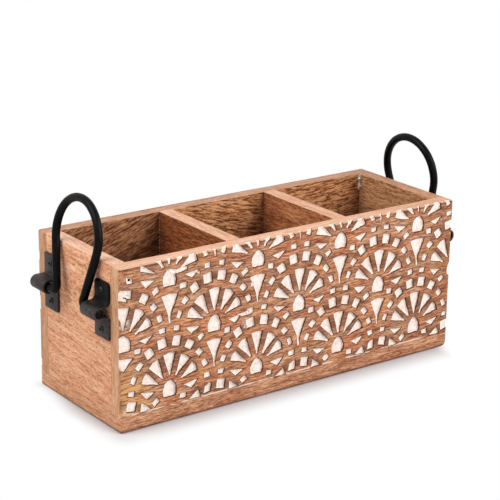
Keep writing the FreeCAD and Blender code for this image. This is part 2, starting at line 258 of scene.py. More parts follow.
PANEL_LOW, PANEL_HIGH = box_mm("front_panel")
HALF_LENGTH = PANEL_HIGH.x
TOP = PANEL_HIGH.z
SEAM = PANEL_LOW.z
FACE_Y = PANEL_LOW.y
INNER_Y = PANEL_HIGH.y
LEFT_DIVIDER_X = sum(box_mm("left_divider"), Vector()).x / 2
PIN_HEIGHT = TOP - PIN_DROP
LOOP_MIDDLE = ROD / 2 + PIN_CLEARANCE + STRAP_THICKNESS / 2
STRAP_MIDDLE = box_mm("left_end_panel")[1].y - STRAP_WIDTH / 2


# Finishes

class Flow:
    """A shader socket that can stand in a sum: each operator adds the Math node it needs."""

    def __init__(self, finish, socket):
        self.finish = finish
        self.socket = socket

    def math(self, operation, first, second):
        return self.finish.node("ShaderNodeMath", {"operation": operation}, {0: first, 1: second})

    def __add__(self, other):
        return self.math("ADD", self, other)

    __radd__ = __add__

    def __sub__(self, other):
        return self.math("SUBTRACT", self, other)

    def __rsub__(self, other):
        return self.math("SUBTRACT", other, self)

    def __mul__(self, other):
        return self.math("MULTIPLY", self, other)

    __rmul__ = __mul__

    def __abs__(self):
        return self.math("ABSOLUTE", self, 0.0)


class Finish:
    """The nodes of one material, or of the studio's light."""

    def __init__(self, owner):
        owner.use_nodes = True
        self.owner = owner
        self.tree = owner.node_tree
        self.tree.nodes.clear()

    def node(self, kind, settings=None, sockets=None, output=0):
        """Adds a node, its settings first and then the values or links of its sockets."""
        made = self.tree.nodes.new(kind)
        for name, setting in (settings or {}).items():
            if name == "stops":
                elements = made.color_ramp.elements
                while len(elements) < len(setting):
                    elements.new(1.0)
                for element, (position, colour) in zip(elements, setting):
                    element.position = position
                    element.color = colour
            else:
                setattr(made, name, setting)
        for place, value in (sockets or {}).items():
            if isinstance(value, Flow):
                self.tree.links.new(value.socket, made.inputs[place])
            else:
                made.inputs[place].default_value = value
        return Flow(self, made.outputs[output]) if made.outputs else None

    def vector(self, operation, first, second=(0.0, 0.0, 0.0), output=0):
        sockets = {0: first, 1: second}
        return self.node("ShaderNodeVectorMath", {"operation": operation}, sockets, output)

    def place(self):
        """The place on the caddy at rest."""
        return self.node("ShaderNodeTexCoord", output="Object")

    def spot(self, shift):
        """The place moved along by a shift, so that no two boards look alike."""
        return self.vector("ADD", self.place(), (shift * 1.7, shift * 0.9, shift * 1.3))

    def axis(self, name):
        return self.node("ShaderNodeSeparateXYZ", {}, {0: self.place()}, name)

    def layer(self, name):
        """A value that the mesh's corners carry."""
        return self.node("ShaderNodeAttribute", {"attribute_name": name}, output="Fac")

    def cloud(self, where, size, detail=2.0, roughness=0.55, output=0):
        """Noise about 0.5 whose patches have this size in millimetres, or a size along each axis."""
        sizes = size if isinstance(size, (tuple, list)) else (size,) * 3
        stretched = self.vector("DIVIDE", where, tuple(length * MM for length in sizes))
        sockets = {"Vector": stretched, "Scale": 1.0, "Detail": detail, "Roughness": roughness}
        return self.node("ShaderNodeTexNoise", {}, sockets, output)

    def swayed(self, where, size, reach):
        """Places moved about by up to a reach in millimetres, so that the grain sways."""
        sway = self.cloud(where, size, output=1)
        return self.vector("ADD", where, self.vector("MULTIPLY", sway, (reach * MM,) * 3))

    def rise(self, value, low, high):
        """0 below low, 1 above high and a smooth slope between."""
        sockets = {"Value": value, "From Min": low, "From Max": high}
        return self.node("ShaderNodeMapRange", {"interpolation_type": "SMOOTHSTEP"}, sockets)

    def rise_along(self, axis, low, high):
        """A rise between two places along an axis, in millimetres."""
        return self.rise(self.axis(axis), low * MM, high * MM)

    def rise_near(self, point, far, near):
        """A rise between two distances from a point, all in millimetres."""
        metres = [coordinate * MM for coordinate in point]
        away = self.vector("DISTANCE", self.place(), metres, "Value")
        return self.rise(away, far * MM, near * MM)

    def ramp(self, value, low, high, *colours):
        """Colours, as they are seen, at even steps of a value from low to high."""
        step = (high - low) / (len(colours) - 1)
        stops = [(low + step * number, tone(*colour)) for number, colour in enumerate(colours)]
        return self.node("ShaderNodeValToRGB", {"stops": stops}, {0: value})

    def mix(self, share, first, second):
        settings = {"data_type": "RGBA", "clamp_factor": True}
        return self.node("ShaderNodeMix", settings, {0: share, 6: first, 7: second}, 2)

    def bump(self, height, depth, strength=1.0):
        sockets = {"Height": height, "Distance": depth * MM, "Strength": strength}
        return self.node("ShaderNodeBump", {}, sockets)

    def surface(self, **sockets):
        named = {name.replace("_", " "): value for name, value in sockets.items()}
        shader = self.node("ShaderNodeBsdfPrincipled", {}, named)
        self.node("ShaderNodeOutputMaterial", {}, {"Surface": shader})
        return self.owner

    def seen(self):
        """1 for what the camera sees, directly, reflected or through glass, and 0 for other light."""
        rays = ("Is Camera Ray", "Is Glossy Ray", "Is Transmission Ray")
        camera_ray, glossy, through = (self.node("ShaderNodeLightPath", output=ray) for ray in rays)
        return self.rise(camera_ray + glossy + through, 0.0, 1.0)


def tone(red, green, blue):
    """A colour as it is seen, 0 to 255, as the shader takes it."""
    linear = [value / 255 / 12.92 if value < 10.3 else ((value / 255 + 0.055) / 1.055) ** 2.4
              for value in (red, green, blue)]
    return (*linear, 1.0)


def new_finish(name):
    return Finish(bpy.data.materials.new(name))


def along(grain, length, width):
    """The size along each axis of patches that are long along the grain."""
    sizes = [width] * 3
    sizes[grain] = length
    return sizes


def wood(name, grain, shift, pores, tones, dashes=0.0, slants=(), dusks=(), corners=()):
    """Open-pored wood in four tones: dark, middle, light and the pores'.

    The grain runs along an axis. It can slant off it by one angle, or by an angle for each of the three
    compartments. Each dusk is an axis, the two places along it between which the wood darkens, and
    how far it does; most dusks are painted shade. Corners are the places along X where painted shade
    darkens it.
    """
    finish = new_finish(name)
    spot = finish.spot(shift)
    if slants:
        slant = slants[0]
        for edge, before, after in zip((LEFT_DIVIDER_X, -LEFT_DIVIDER_X), slants, slants[1:]):
            slant = slant + finish.rise_along("X", edge - 3.0, edge + 3.0) * (after - before)
        turn = {"rotation_type": "X_AXIS" if grain == Y else "Y_AXIS"}
        spot = finish.node("ShaderNodeVectorRotate", turn, {"Vector": spot, "Angle": slant})
    swayed = finish.swayed(spot, along(grain, 60.0, 20.0), 6.0)
    bands = finish.cloud(swayed, along(grain, 130.0, 10.0))
    streaks = finish.cloud(swayed, along(grain, 24.0, 2.0), 3.0, 0.65)
    fibres = finish.cloud(swayed, along(grain, 6.0, 0.85), 2.0, 0.65)
    flecks = finish.cloud(swayed, along(grain, 3.4, 0.58), 1.0)
    colour = finish.ramp(bands * 0.16 + streaks * 0.38 + fibres * 0.46, 0.4, 0.6, *tones[:3])
    pore = tone(*tones[3])
    if dashes:
        dashed = finish.rise(finish.cloud(swayed, along(grain, 10.0, 1.25), 2.0), 0.5, 0.6)
        colour = finish.mix(dashed * dashes, colour, pore)
    for axis, low, high, share in dusks:
        colour = finish.mix(finish.rise_along(axis, low, high) * share, colour, pore)
    # Painted shade towards the inner corners
    for corner in corners:
        corner_shade = finish.rise(abs(finish.axis("X") - corner * MM), 20.0 * MM, 1.0 * MM)
        colour = finish.mix(corner_shade * 0.32, colour, pore)
    patches = finish.rise(streaks, 0.62, 0.4)
    pits = finish.rise(flecks, 0.56, 0.66) * (patches * 0.7 + 0.3) * pores
    colour = finish.mix(pits, colour, pore)
    height = fibres * 0.5 + streaks * 0.4 - pits * 0.9
    return finish.surface(
        Base_Color=colour,
        Roughness=0.52 + fibres * 0.22 + pits * 0.15,
        Specular_IOR_Level=0.28,
        Normal=finish.bump(height, 0.35, 0.55),
    )


# Places where paint was wiped over the front's wood, with their radius, and a corner of pale wood
SMEARS = (
    ((-162.3, -60.0, 88.3), 8.0),
    ((-49.2, -60.0, 64.7), 6.0),
    ((-158.0, -60.0, 18.0), 7.0),
)
PALE_CORNER = (-158.0, -60.0, 24.0)


def carved_wood():
    """The stained face between the recesses, with painted shade along their rims, and paint left in the
    low seam.
    """
    finish = new_finish("carved_wood")
    spot = finish.spot(0.4)
    swayed = finish.swayed(spot, along(X, 60.0, 18.0), 7.0)
    bands = finish.cloud(swayed, along(X, 120.0, 8.0))
    streaks = finish.cloud(swayed, along(X, 17.0, 1.4), 3.0, 0.7)
    fibres = finish.cloud(swayed, along(X, 5.0, 0.75), 2.0, 0.7)
    figure = bands * 0.14 + streaks * 0.46 + fibres * 0.4
    brown = finish.ramp(figure, 0.41, 0.59, (104, 62, 40), (174, 120, 86), (222, 174, 138))
    red = finish.ramp(figure, 0.41, 0.59, (116, 58, 34), (184, 116, 78), (226, 166, 122))
    colour = finish.mix(finish.rise(finish.cloud(spot, along(X, 24.0, 9.0)), 0.42, 0.6), brown, red)
    yellow = finish.rise(finish.cloud(spot, (30.0, 12.0, 9.0)), 0.6, 0.7)
    colour = finish.mix(yellow * 0.45, colour, tone(206, 158, 84))
    colour = finish.mix(finish.rise_along("X", 90.0, 165.0) * 0.22, colour, tone(104, 54, 26))
    pale = finish.rise_near(PALE_CORNER, 34.0, 8.0) * finish.rise(streaks, 0.42, 0.56)
    colour = finish.mix(pale * 0.8, colour, tone(222, 168, 104))
    stain = finish.rise(finish.layer("stain"), 0.1, 0.9)
    colour = finish.mix(stain * 0.52, colour, tone(100, 58, 38))
    ragged = finish.cloud(spot, 2.0)
    # Painted shade along every recess's rim, fading out to the worn loop around it
    rim_shade = finish.rise(finish.layer("rim") + (ragged - 0.5) * 0.8, 0.2, 0.9)
    colour = finish.mix(rim_shade * 0.85, colour, tone(80, 42, 24))
    worn_edge = finish.rise_along("Z", TOP - 1.0, TOP - 0.5)
    under_rim = finish.rise_along("Z", TOP - 3.2, TOP - 1.6) - worn_edge
    colour = finish.mix(under_rim * finish.rise(ragged, 0.3, 0.5) * 0.6, colour, tone(84, 46, 28))
    colour = finish.mix(worn_edge * 0.8, colour, tone(226, 176, 144))
    dust = finish.cloud(spot, (4.0, 4.0, 2.5), 3.0, 0.7)
    paint_left = finish.rise(dust, 0.68, 0.8) * 0.35
    wiped = finish.rise(dust, 0.44, 0.6) * 0.75
    for middle, radius in SMEARS:
        paint_left = paint_left + finish.rise_near(middle, radius, radius * 0.3) * wiped
    in_seam = finish.rise_along("Z", SEAM + 1.5, SEAM + 1.0) * finish.rise_along("X", 142.0, 128.0)
    broken = finish.rise(finish.cloud(spot, along(X, 16.0, 5.0)), 0.42, 0.5)
    colour = finish.mix(paint_left + in_seam * broken * 0.9, colour, tone(244, 228, 214))
    return finish.surface(
        Base_Color=colour,
        Roughness=0.55 + fibres * 0.2,
        Specular_IOR_Level=0.28,
        Normal=finish.bump(fibres * 0.5 + streaks * 0.5, 0.4, 0.6),
    )


def recess_wall():
    """The dark sides of the recesses, with specks of paint."""
    finish = new_finish("recess_wall")
    spot = finish.spot(0.7)
    grain = finish.cloud(spot, (6.0, 1.0, 1.2), 3.0)
    colour = finish.ramp(grain, 0.35, 0.6, (62, 34, 20), (112, 66, 42))
    specks = finish.rise(finish.cloud(spot, 1.6, 2.0), 0.62, 0.74)
    colour = finish.mix(specks * 0.5, colour, tone(206, 176, 154))
    return finish.surface(
        Base_Color=colour,
        Roughness=0.7 + grain * 0.2,
        Specular_IOR_Level=0.2,
        Normal=finish.bump(grain, 0.3, 0.6),
    )


def recess_paint():
    """Chalky white paint in the recesses, thin in places and chipped here and there."""
    finish = new_finish("recess_paint")
    spot = finish.spot(1.1)
    mottle = finish.cloud(spot, 2.6, 3.0, 0.7)
    brushed = finish.cloud(spot, along(Z, 4.0, 1.2), 2.0)
    colour = finish.ramp(mottle, 0.34, 0.66, (240, 215, 200), (255, 240, 229), (255, 250, 243))
    thin = finish.rise(brushed, 0.56, 0.76)
    colour = finish.mix(thin * 0.4, colour, tone(220, 196, 182))
    chips = finish.rise(finish.cloud(spot, (2.1, 2.1, 1.3), 2.0, 0.7), 0.7, 0.74)
    colour = finish.mix(chips * 0.9, colour, tone(110, 66, 42))
    return finish.surface(
        Base_Color=colour,
        Roughness=0.8 - chips * 0.1,
        Specular_IOR_Level=0.2,
        Normal=finish.bump(mottle * 0.6 + brushed * 0.4 - chips, 0.3, 0.5),
    )


def black_iron(name, shift, dark, light, worn, gloss, dullness, shade_heights=()):
    """Blackened iron with a waxed, slightly uneven skin, rubbed grey on its high spots.

    Shade heights are two heights between which the skin darkens to near black, painted shade on what lies
    above them.
    """
    finish = new_finish(name)
    spot = finish.spot(shift)
    skin = finish.cloud(spot, 2.4, 3.0, 0.6)
    dents = finish.cloud(spot, 9.0, 1.0)
    colour = finish.ramp(skin, 0.38, 0.62, dark, light)
    rubbed = finish.rise(skin * 0.5 + dents * 0.5, 0.54, 0.66)
    colour = finish.mix(rubbed * worn, colour, tone(92, 79, 73))
    if shade_heights:
        # Painted shade: near black above the shade heights
        colour = finish.mix(finish.rise_along("Z", *shade_heights) * 0.94, colour, tone(4, 4, 5))
    return finish.surface(
        Base_Color=colour,
        Roughness=dullness + skin * 0.24,
        Specular_IOR_Level=gloss,
        Normal=finish.bump(skin * 0.6 + dents * 0.6, 0.25, 0.5),
    )


def nail_steel():
    finish = new_finish("nail_steel")
    rust = finish.cloud(finish.spot(0.2), 1.4, 3.0)
    return finish.surface(
        Base_Color=finish.ramp(rust, 0.4, 0.62, (120, 116, 112), (98, 72, 54)),
        Metallic=0.9 - rust * 0.4,
        Roughness=0.35 + rust * 0.4,
        Normal=finish.bump(rust, 0.05),
    )


def dried_glue():
    finish = new_finish("dried_glue")
    lumps = finish.cloud(finish.spot(0.5), 2.2, 2.0)
    return finish.surface(
        Base_Color=finish.ramp(lumps, 0.36, 0.62, (178, 160, 144), (240, 230, 218)),
        Roughness=0.4 + lumps * 0.3,
        Specular_IOR_Level=0.35,
        Normal=finish.bump(lumps, 0.3, 0.5),
    )


# Meshes

def finished_mesh(name, shape, crease=BOARD_CREASE):
    """A bmesh in millimetres as a mesh in metres, smooth but for its creases."""
    bmesh.ops.recalc_face_normals(shape, faces=shape.faces)
    bmesh.ops.scale(shape, vec=(MM, MM, MM), verts=shape.verts)
    mesh = bpy.data.meshes.new(name)
    shape.to_mesh(mesh)
    shape.free()
    mesh.shade_smooth()
    mesh.set_sharp_from_angle(angle=math.radians(crease))
    return mesh


def shown(name, data, finishes=()):
    """A mesh, lamp or camera as an object of the scene."""
    for finish in finishes:
        data.materials.append(finish)
    piece = bpy.data.objects.new(name, data)
    bpy.context.scene.collection.objects.link(piece)
    return piece


def put(name, mesh, node, finishes):
    """Shows a mesh in place of a solid, on the solid's own body."""
    piece = shown(name, mesh, finishes)
    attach(piece, frame["nodes"][node]["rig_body"])
    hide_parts(node)


def neighbours(ring):
    """Each member of a closed ring with the next one."""
    return zip(ring, ring[1:] + ring[:1])


def arc(centre, radius, start, stop, steps, first=1):
    """Points on an arc from its first step on, angles in degrees."""
    for number in range(first, steps + 1):
        angle = math.radians(start + (stop - start) * number / steps)
        yield centre[0] + radius * math.cos(angle), centre[1] + radius * math.sin(angle)


def slope(value, low, high):
    """0 at low, 1 at high and straight between."""
    return max(0.0, min(1.0, (value - low) / (high - low)))


def rounded_back(near, radius):
    """How far a round edge has fallen back at a distance from the corner that it rounds off."""
    short = min(radius, max(0.0, radius - near))
    return radius - math.sqrt(radius ** 2 - short ** 2)


def skinned(shape, rings, tip=None):
    """Joins rings of corners into a closed tube, whose first ring can run up to a tip."""
    for first, second in zip(rings, rings[1:]):
        for (a, b), (d, c) in zip(neighbours(first), neighbours(second)):
            shape.faces.new((a, b, c, d))
    shape.faces.new(rings[-1])
    if tip is None:
        shape.faces.new(rings[0][::-1])
    else:
        for a, b in neighbours(rings[0]):
            shape.faces.new((tip, b, a))


def wavered(point):
    """A point on a board, moved by the small unevenness that all the boards share."""
    drift = noise.noise_vector(point * WAVER_RATE) * BOARD_WAVER
    settled = min(1.0, point.z / WAVER_FULL)
    inward = -math.copysign(BOARD_WAVER, point.y) * min(1.0, abs(point.y) / abs(FACE_Y))
    return point + Vector((drift.x, drift.y + inward, drift.z)) * settled


def waver(shape):
    for vertex in shape.verts:
        vertex.co = wavered(vertex.co)


def sliced(shape, axis, low, high):
    """Cuts a board across at even steps, so that its edges can waver."""
    count = max(1, round((high - low) / BOARD_SLICE))
    normal = Vector((0.0, 0.0, 0.0))
    normal[axis] = 1.0
    for number in range(1, count):
        place = normal * (low + (high - low) * number / count)
        geometry = shape.verts[:] + shape.edges[:] + shape.faces[:]
        bmesh.ops.bisect_plane(shape, geom=geometry, plane_co=place, plane_no=normal)


def plain_board(node):
    low, high = box_mm(node)
    shape = bmesh.new()
    bmesh.ops.create_cube(shape, size=1.0)
    for vertex in shape.verts:
        vertex.co = Vector([low[i] if vertex.co[i] < 0 else high[i] for i in range(3)])
    return shape, low, high


def eased(shape, radius, segments, chosen):
    """Rounds the sharp edges whose middle passes the test."""
    edges = [
        edge for edge in shape.edges
        if edge.calc_face_angle(0.0) > SHARP_TURN
        and chosen((edge.verts[0].co + edge.verts[1].co) / 2)
    ]
    bmesh.ops.bevel(
        shape, geom=edges, offset=radius, offset_type="OFFSET", segments=segments, profile=0.5,
        affect="EDGES", clamp_overlap=True,
    )


def finished_board(name, shape, finish_of):
    """A board with the number of a finish for each way that a face looks, then made uneven."""
    shape.normal_update()
    for face in shape.faces:
        face.material_index = finish_of(face.normal)
    waver(shape)
    return finished_mesh(name, shape)


def base_board_mesh():
    """The base board, worn rounder under its right end: its long sides have finish 0 and its ends 1."""
    low, high = box_mm("base_board")
    tall = high.z - low.z
    shape = bmesh.new()
    rings = []
    for up in BASE_LEVELS + (tall - SEAM_EASE, tall - SEAM_EASE * 0.3, tall):
        top = rounded_back(tall - up, SEAM_EASE)
        right = high.x - rounded_back(up, BASE_WORN_END) - top - EDGE_ROUND
        left = low.x + rounded_back(up, BASE_ROUND) + top + EDGE_ROUND
        back = high.y - rounded_back(up, BASE_ROUND) - top - EDGE_ROUND
        ring = []
        for turn, x, y in ((0, right, back), (90, left, back), (180, left, -back), (270, right, -back)):
            ring += arc((x, y), EDGE_ROUND, turn, turn + 90, ROUND_STEPS, 0)
        rings.append([shape.verts.new((x, y, low.z + up)) for x, y in ring])
    skinned(shape, rings)
    sliced(shape, X, low.x, high.x)
    return finished_board("base_board_looks", shape, lambda normal: int(abs(normal.x) > 0.6))


def end_board_mesh(node, side):
    """An end board: its outer face has finish 0, its top rim 1 and its inside 2."""
    shape, low, high = plain_board(node)
    outer = low.x if side < 0 else high.x
    eased(shape, EDGE_ROUND, ROUND_STEPS,
          lambda middle: abs(middle.x - outer) < CLOSE and middle.z > high.z - CLOSE)
    eased(shape, SEAM_EASE, 2, lambda middle: True)
    sliced(shape, Y, low.y, high.y)
    sliced(shape, Z, low.z, high.z)

    def finish_of(normal):
        if normal.z > 0.8:
            return 1
        return 2 if normal.x * side < -0.5 else 0

    return finished_board(node + "_looks", shape, finish_of)


def divider_mesh(node):
    """A divider: its faces have finish 0 and its top rim 1."""
    shape, low, high = plain_board(node)
    eased(shape, DIVIDER_EASE, 3,
          lambda middle: middle.z > high.z - CLOSE and abs(middle.y) < 1.0)
    sliced(shape, Y, low.y, high.y)
    return finished_board(node + "_looks", shape, lambda normal: int(normal.z > 0.5))


def glue_mesh(name, x, chance, lowest, spacing, count, halves, radii):
    """Drops of glue squeezed out along an upright inner corner at the back."""
    shape = bmesh.new()
    for number in range(count):
        high, half, radius = lowest + spacing * number, chance.uniform(*halves), chance.uniform(*radii)
        made = bmesh.ops.create_icosphere(shape, subdivisions=3, radius=1.0)
        for vertex in made["verts"]:
            lump = 1.0 + noise.noise(vertex.co * 1.6 + Vector((high, x, 0.0))) * GLUE_LUMPS
            across = vertex.co * radius * lump
            vertex.co = Vector((x + across.x, -INNER_Y + across.y, high + vertex.co.z * half))
    return finished_mesh(name, shape)


# Carved panels

def swung(points, angle):
    """Swings points drawn above a dome clockwise about its middle."""
    turn = math.radians(angle)
    cos, sin = math.cos(turn), math.sin(turn)
    return [(across * cos + out * sin, out * cos - across * sin, share) for across, out, share in points]


def mirrored(points):
    return [(-across, out, share) for across, out, share in reversed(points)]


def rectangle(across, out, width, height, share):
    corners = ((-1, -1), (-1, 1), (1, 1), (1, -1))
    return [(across + x * width / 2, out + z * height / 2, share) for x, z in corners]


def block(angle, radius, width, height):
    least, gain, most = BLOCK_SHARES
    share = min(most, least + gain * min(width, height))
    return swung(rectangle(0.0, radius, width, height, share), angle)


def petal(angle, inner, outer, root, tip):
    """A petal that runs out shallow and narrow at its root."""
    at_root, at_neck, at_tip = PETAL_SHARES
    neck, neck_out = root + (tip - root) * PETAL_NECK[0], inner + (outer - inner) * PETAL_NECK[1]
    right = [
        (tip / 2, outer - PETAL_CROWN, at_tip),
        (neck / 2, neck_out, at_neck),
        (root / 2, inner, at_root),
    ]
    return swung(mirrored(right) + [(0.0, outer, at_tip)] + right, angle)


def leaf(angle):
    at_inner, at_outer, at_heel = LEAF_SHARES
    heel = LEAF_INNER + (LEAF_OUTER - LEAF_INNER) * LEAF_HEEL
    low, high = LEAF_DROP - LEAF_WIDTH / 2, LEAF_DROP + LEAF_WIDTH / 2
    return swung([(0.0, LEAF_INNER, at_inner), (low, LEAF_OUTER, at_outer), (high, heel, at_heel)], angle)


def wedge():
    """The wedge under a dome, its tail running out to nothing."""
    at_top, at_neck, at_middle, at_tail = WEDGE_SHARES
    right = [
        (WEDGE_WIDTH / 2, -WEDGE_TOP - WEDGE_CROWN, at_top),
        (WEDGE_NECK_WIDTH / 2, -WEDGE_NECK, at_neck),
        (WEDGE_NECK_WIDTH / 5, (-WEDGE_NECK - WEDGE_TAIL) / 2, at_middle),
        (WEDGE_TAIL_WIDTH / 2, -WEDGE_TAIL, at_tail),
    ]
    return [(0.0, -WEDGE_TOP, at_top)] + right + mirrored(right)


def fan():
    """Outlines of the recesses round one dome: each corner with its share of the full depth."""
    dome = [(across, out, 1.0) for across, out in DOME]
    middle = [dome, petal(*MIDDLE_PETAL), wedge(), block(*LEFT_CHIP), rectangle(*RIGHT_CHIP, CHIP_SHARE)]
    right = [petal(*sizes) for sizes in SIDE_PETALS] + [leaf(90.0)]
    right += [block(*sizes) for sizes in RING_BLOCKS]
    return middle + right + [mirrored(outline) for outline in right]


def on_panel(x, z):
    return abs(x) < HALF_LENGTH - EDGE_ROUND and SEAM + EDGE_ROUND < z < TOP - EDGE_ROUND


def fan_places():
    """Middles of all domes near the panel, in rows offset by half a pitch."""
    for row in range(-1, 4):
        for column in range(-3, 4):
            offset = 0.5 if row % 2 == 0 else 0.0
            yield FAN_PITCH * (column + offset) + PATTERN_SHIFT, FIRST_ROW + ROW_PITCH * row


def below(corners, top):
    """The part of an outline below a height."""
    kept = []
    for here, after in neighbours(corners):
        if here[1] <= top:
            kept.append(here)
        if (here[1] <= top) != (after[1] <= top):
            kept.append(tuple(Vector(here).lerp(Vector(after), (top - here[1]) / (after[1] - here[1]))))
    return kept


def fan_recesses(left_out, top):
    """Corner lists, cut off at a height, of all recesses that reach the panel, but for those left out."""
    outlines = fan()
    for x, z in fan_places():
        for outline in outlines:
            corners = [(x + across, z + out, share) for across, out, share in outline]
            middle = [sum(corner[axis] for corner in corners) / len(corners) for axis in (0, 1)]
            if any(math.dist(middle, spot[:2]) < spot[2] for spot in left_out):
                continue
            if sum(on_panel(corner[0], corner[1]) for corner in corners) >= 2:
                yield below(corners, top)


def fan_stain(x, z):
    """1 on the narrow ribs between petals and between the upper ring blocks, which took more stain."""
    most = 0.0
    for middle_x, middle_z in fan_places():
        across, out = x - middle_x - CUT_DRIFT.x, z - middle_z - CUT_DRIFT.y
        if max(abs(across), abs(out)) > STAIN_REACH:
            continue
        radius, angle = math.hypot(across, out), abs(math.degrees(math.atan2(across, out)))
        for (begins, full, fades, ends), (side, upper) in STAIN_ZONES:
            on_ring = slope(radius, begins, full) * slope(radius, ends, fades)
            most = max(most, on_ring * slope(angle, side, upper))
    return most


def anticlockwise(corners):
    twice_area = sum(a[0] * b[1] - b[0] * a[1] for a, b in neighbours(corners))
    return corners if twice_area > 0 else corners[::-1]


def hand_cut(corners, chance):
    """The outline as a hand cuts it: corners a little off and blunt, edges a little bowed."""
    rough = [
        (x + chance.uniform(-CUT_WANDER, CUT_WANDER), z + chance.uniform(-CUT_WANDER, CUT_WANDER), share)
        for x, z, share in anticlockwise(list(corners))
    ]
    opened = [
        (x + CUT_DRIFT.x, z + CUT_DRIFT.y, corner[2])
        for (x, z), corner in zip(widened(rough, CUT_OPENING), rough)
    ]
    line = []
    for start, stop in neighbours(opened):
        run = Vector((stop[0] - start[0], stop[1] - start[1]))
        steps = max(2, round(run.length / CUT_STEP))
        side = Vector((-run.y, run.x)).normalized() * chance.uniform(-CUT_BOW, CUT_BOW)
        side *= min(1.0, run.length / CUT_BOW_LENGTH)
        for number in range(steps):
            t = number / steps
            x, z = Vector(start[:2]) + run * t + side * math.sin(math.pi * t)
            line.append((x, z, start[2] + (stop[2] - start[2]) * t))
    return line


def widened(line, distance):
    """An anticlockwise outline moved outwards, its sharp points by no more than twice the distance."""
    count = len(line)
    for number in range(count):
        here = Vector(line[number][:2])
        into = (here - Vector(line[number - 1][:2])).normalized()
        onward = (Vector(line[(number + 1) % count][:2]) - here).normalized()
        out = Vector((into.y + onward.y, -into.x - onward.x))
        reach = distance * 2.0 / max(out.length_squared, 1.0)
        yield tuple(here + out * reach)


def within(x, z, line):
    inside = False
    for a, b in neighbours(line):
        if (a[1] > z) != (b[1] > z) and x < a[0] + (z - a[1]) / (b[1] - a[1]) * (b[0] - a[0]):
            inside = not inside
    return inside


def floor_points(line, chance):
    """Scattered points of a recess's floor, clear of its walls."""
    low_x, high_x = min(p[0] for p in line), max(p[0] for p in line)
    low_z, high_z = min(p[1] for p in line), max(p[1] for p in line)
    for column in range(int((high_x - low_x) / FLOOR_STEP) + 1):
        for row in range(int((high_z - low_z) / FLOOR_STEP) + 1):
            x = low_x + FLOOR_STEP * (column + chance.uniform(*FLOOR_SCATTER))
            z = low_z + FLOOR_STEP * (row + chance.uniform(*FLOOR_SCATTER))
            clear = min(math.hypot(x - p[0], z - p[1]) for p in line) > FLOOR_CLEAR
            if clear and within(x, z, line):
                yield x, z


def panel_outline(inset):
    """The panel's outline seen from the front, moved in from its edges, with its top corners round."""
    half, top, low = HALF_LENGTH - inset, TOP - inset, SEAM + inset
    radius = max(EDGE_ROUND - inset, 0.02)
    corners = [(-half, low), (half, low)]
    for x, start in ((half - radius, 0.0), (radius - half, 90.0)):
        corners += arc((x, top - radius), radius, start, start + 90.0, ROUND_STEPS, 0)
    outline = []
    for a, b in neighbours(corners):
        steps = max(1, round(math.dist(a, b) / BOARD_SLICE))
        for number in range(steps):
            t = number / steps
            outline.append((a[0] + (b[0] - a[0]) * t, a[1] + (b[1] - a[1]) * t))
    return outline


def edge_fall(x, z):
    """How far the worn round of the panel's edges has fallen back from its face."""
    side, top = HALF_LENGTH - abs(x), TOP - z
    if side < EDGE_ROUND and top < EDGE_ROUND:
        near = EDGE_ROUND - math.hypot(EDGE_ROUND - side, EDGE_ROUND - top)
    else:
        near = min(side, top)
    return rounded_back(near, EDGE_ROUND) + max(0.0, SEAM_EASE - (z - SEAM))


# Places on the front where the carver left out a recess or cut another: a middle and a radius
FRONT_LEFT_OUT = (
    (-158.0, 130.5, 7.0), (-168.0, 126.0, 7.5), (-157.0, 120.5, 4.0), (-140.5, 126.5, 5.0),
    (-157.5, 109.5, 4.5), (-162.5, 50.0, 8.0), (-146.0, 17.5, 4.5),
)
# Corners and shares of the depth of the recesses, slips of the chisel and tails cut by hand
FRONT_MARKS = (
    ((-159.4, 123.0, 0.4), (-154.9, 122.4, 0.4), (-154.7, 119.1, 0.4), (-158.6, 118.8, 0.4)),
    ((-164.5, 114.0, 0.8), (-155.2, 112.8, 0.8), (-155.7, 106.8, 0.8), (-159.2, 107.9, 0.8),
     (-159.8, 105.2, 0.7), (-165.9, 106.9, 0.8)),
    ((-146.3, 131.2, 0.8), (-146.8, 126.3, 0.8), (-132.6, 121.6, 0.3)),
    ((-121.5, 123.2, 0.7), (-115.3, 121.6, 0.45), (-109.9, 122.3, 0.4), (-105.5, 122.6, 0.6),
     (-106.1, 120.6, 0.6), (-115.3, 119.2, 0.45), (-118.9, 119.9, 0.7)),
    ((-58.8, 74.2, 0.5), (-46.0, 75.7, 0.3), (-43.0, 73.8, 0.35), (-45.2, 72.8, 0.3), (-53.7, 72.8, 0.4)),
    ((-45.3, 98.0, 0.5), (-42.6, 98.0, 0.5), (-42.0, 95.0, 0.5), (-44.7, 95.1, 0.5)),
    ((-97.6, 118.4, 0.4), (-94.6, 116.4, 0.35), (-94.4, 114.6, 0.3), (-97.6, 116.8, 0.4)),
    ((-166.0, 60.2, 0.8), (-154.6, 58.6, 0.8), (-162.2, 50.4, 0.5), (-166.0, 53.2, 0.7)),
    ((-148.0, 14.2, 0.7), (-146.6, 21.2, 0.7), (-138.6, 14.6, 0.4)),
)
# Recesses over the seam that were cut to other shapes, from the middle of the fan below: the middle of
# the ring block that each stands for, and its corners
LOW_CUTS = (
    ((-18.3, 15.0), ((-23.6, 13.9), (-14.7, 19.8), (-12.3, 13.8))),
    ((-6.7, 20.4), ((-9.3, 16.1), (-8.2, 21.0), (-4.8, 23.4), (-3.1, 23.5), (-3.4, 16.6))),
    ((18.3, 15.0), ((15.2, 20.6), (14.6, 13.8), (24.0, 13.9))),
)
LOW_CUT_COLUMNS = (-1, 0, 1, 2)
LOW_CUT_REACH = 3.5
LOW_CUT_SHARE = 0.75
LOW_CUT_MARGIN = 10.0
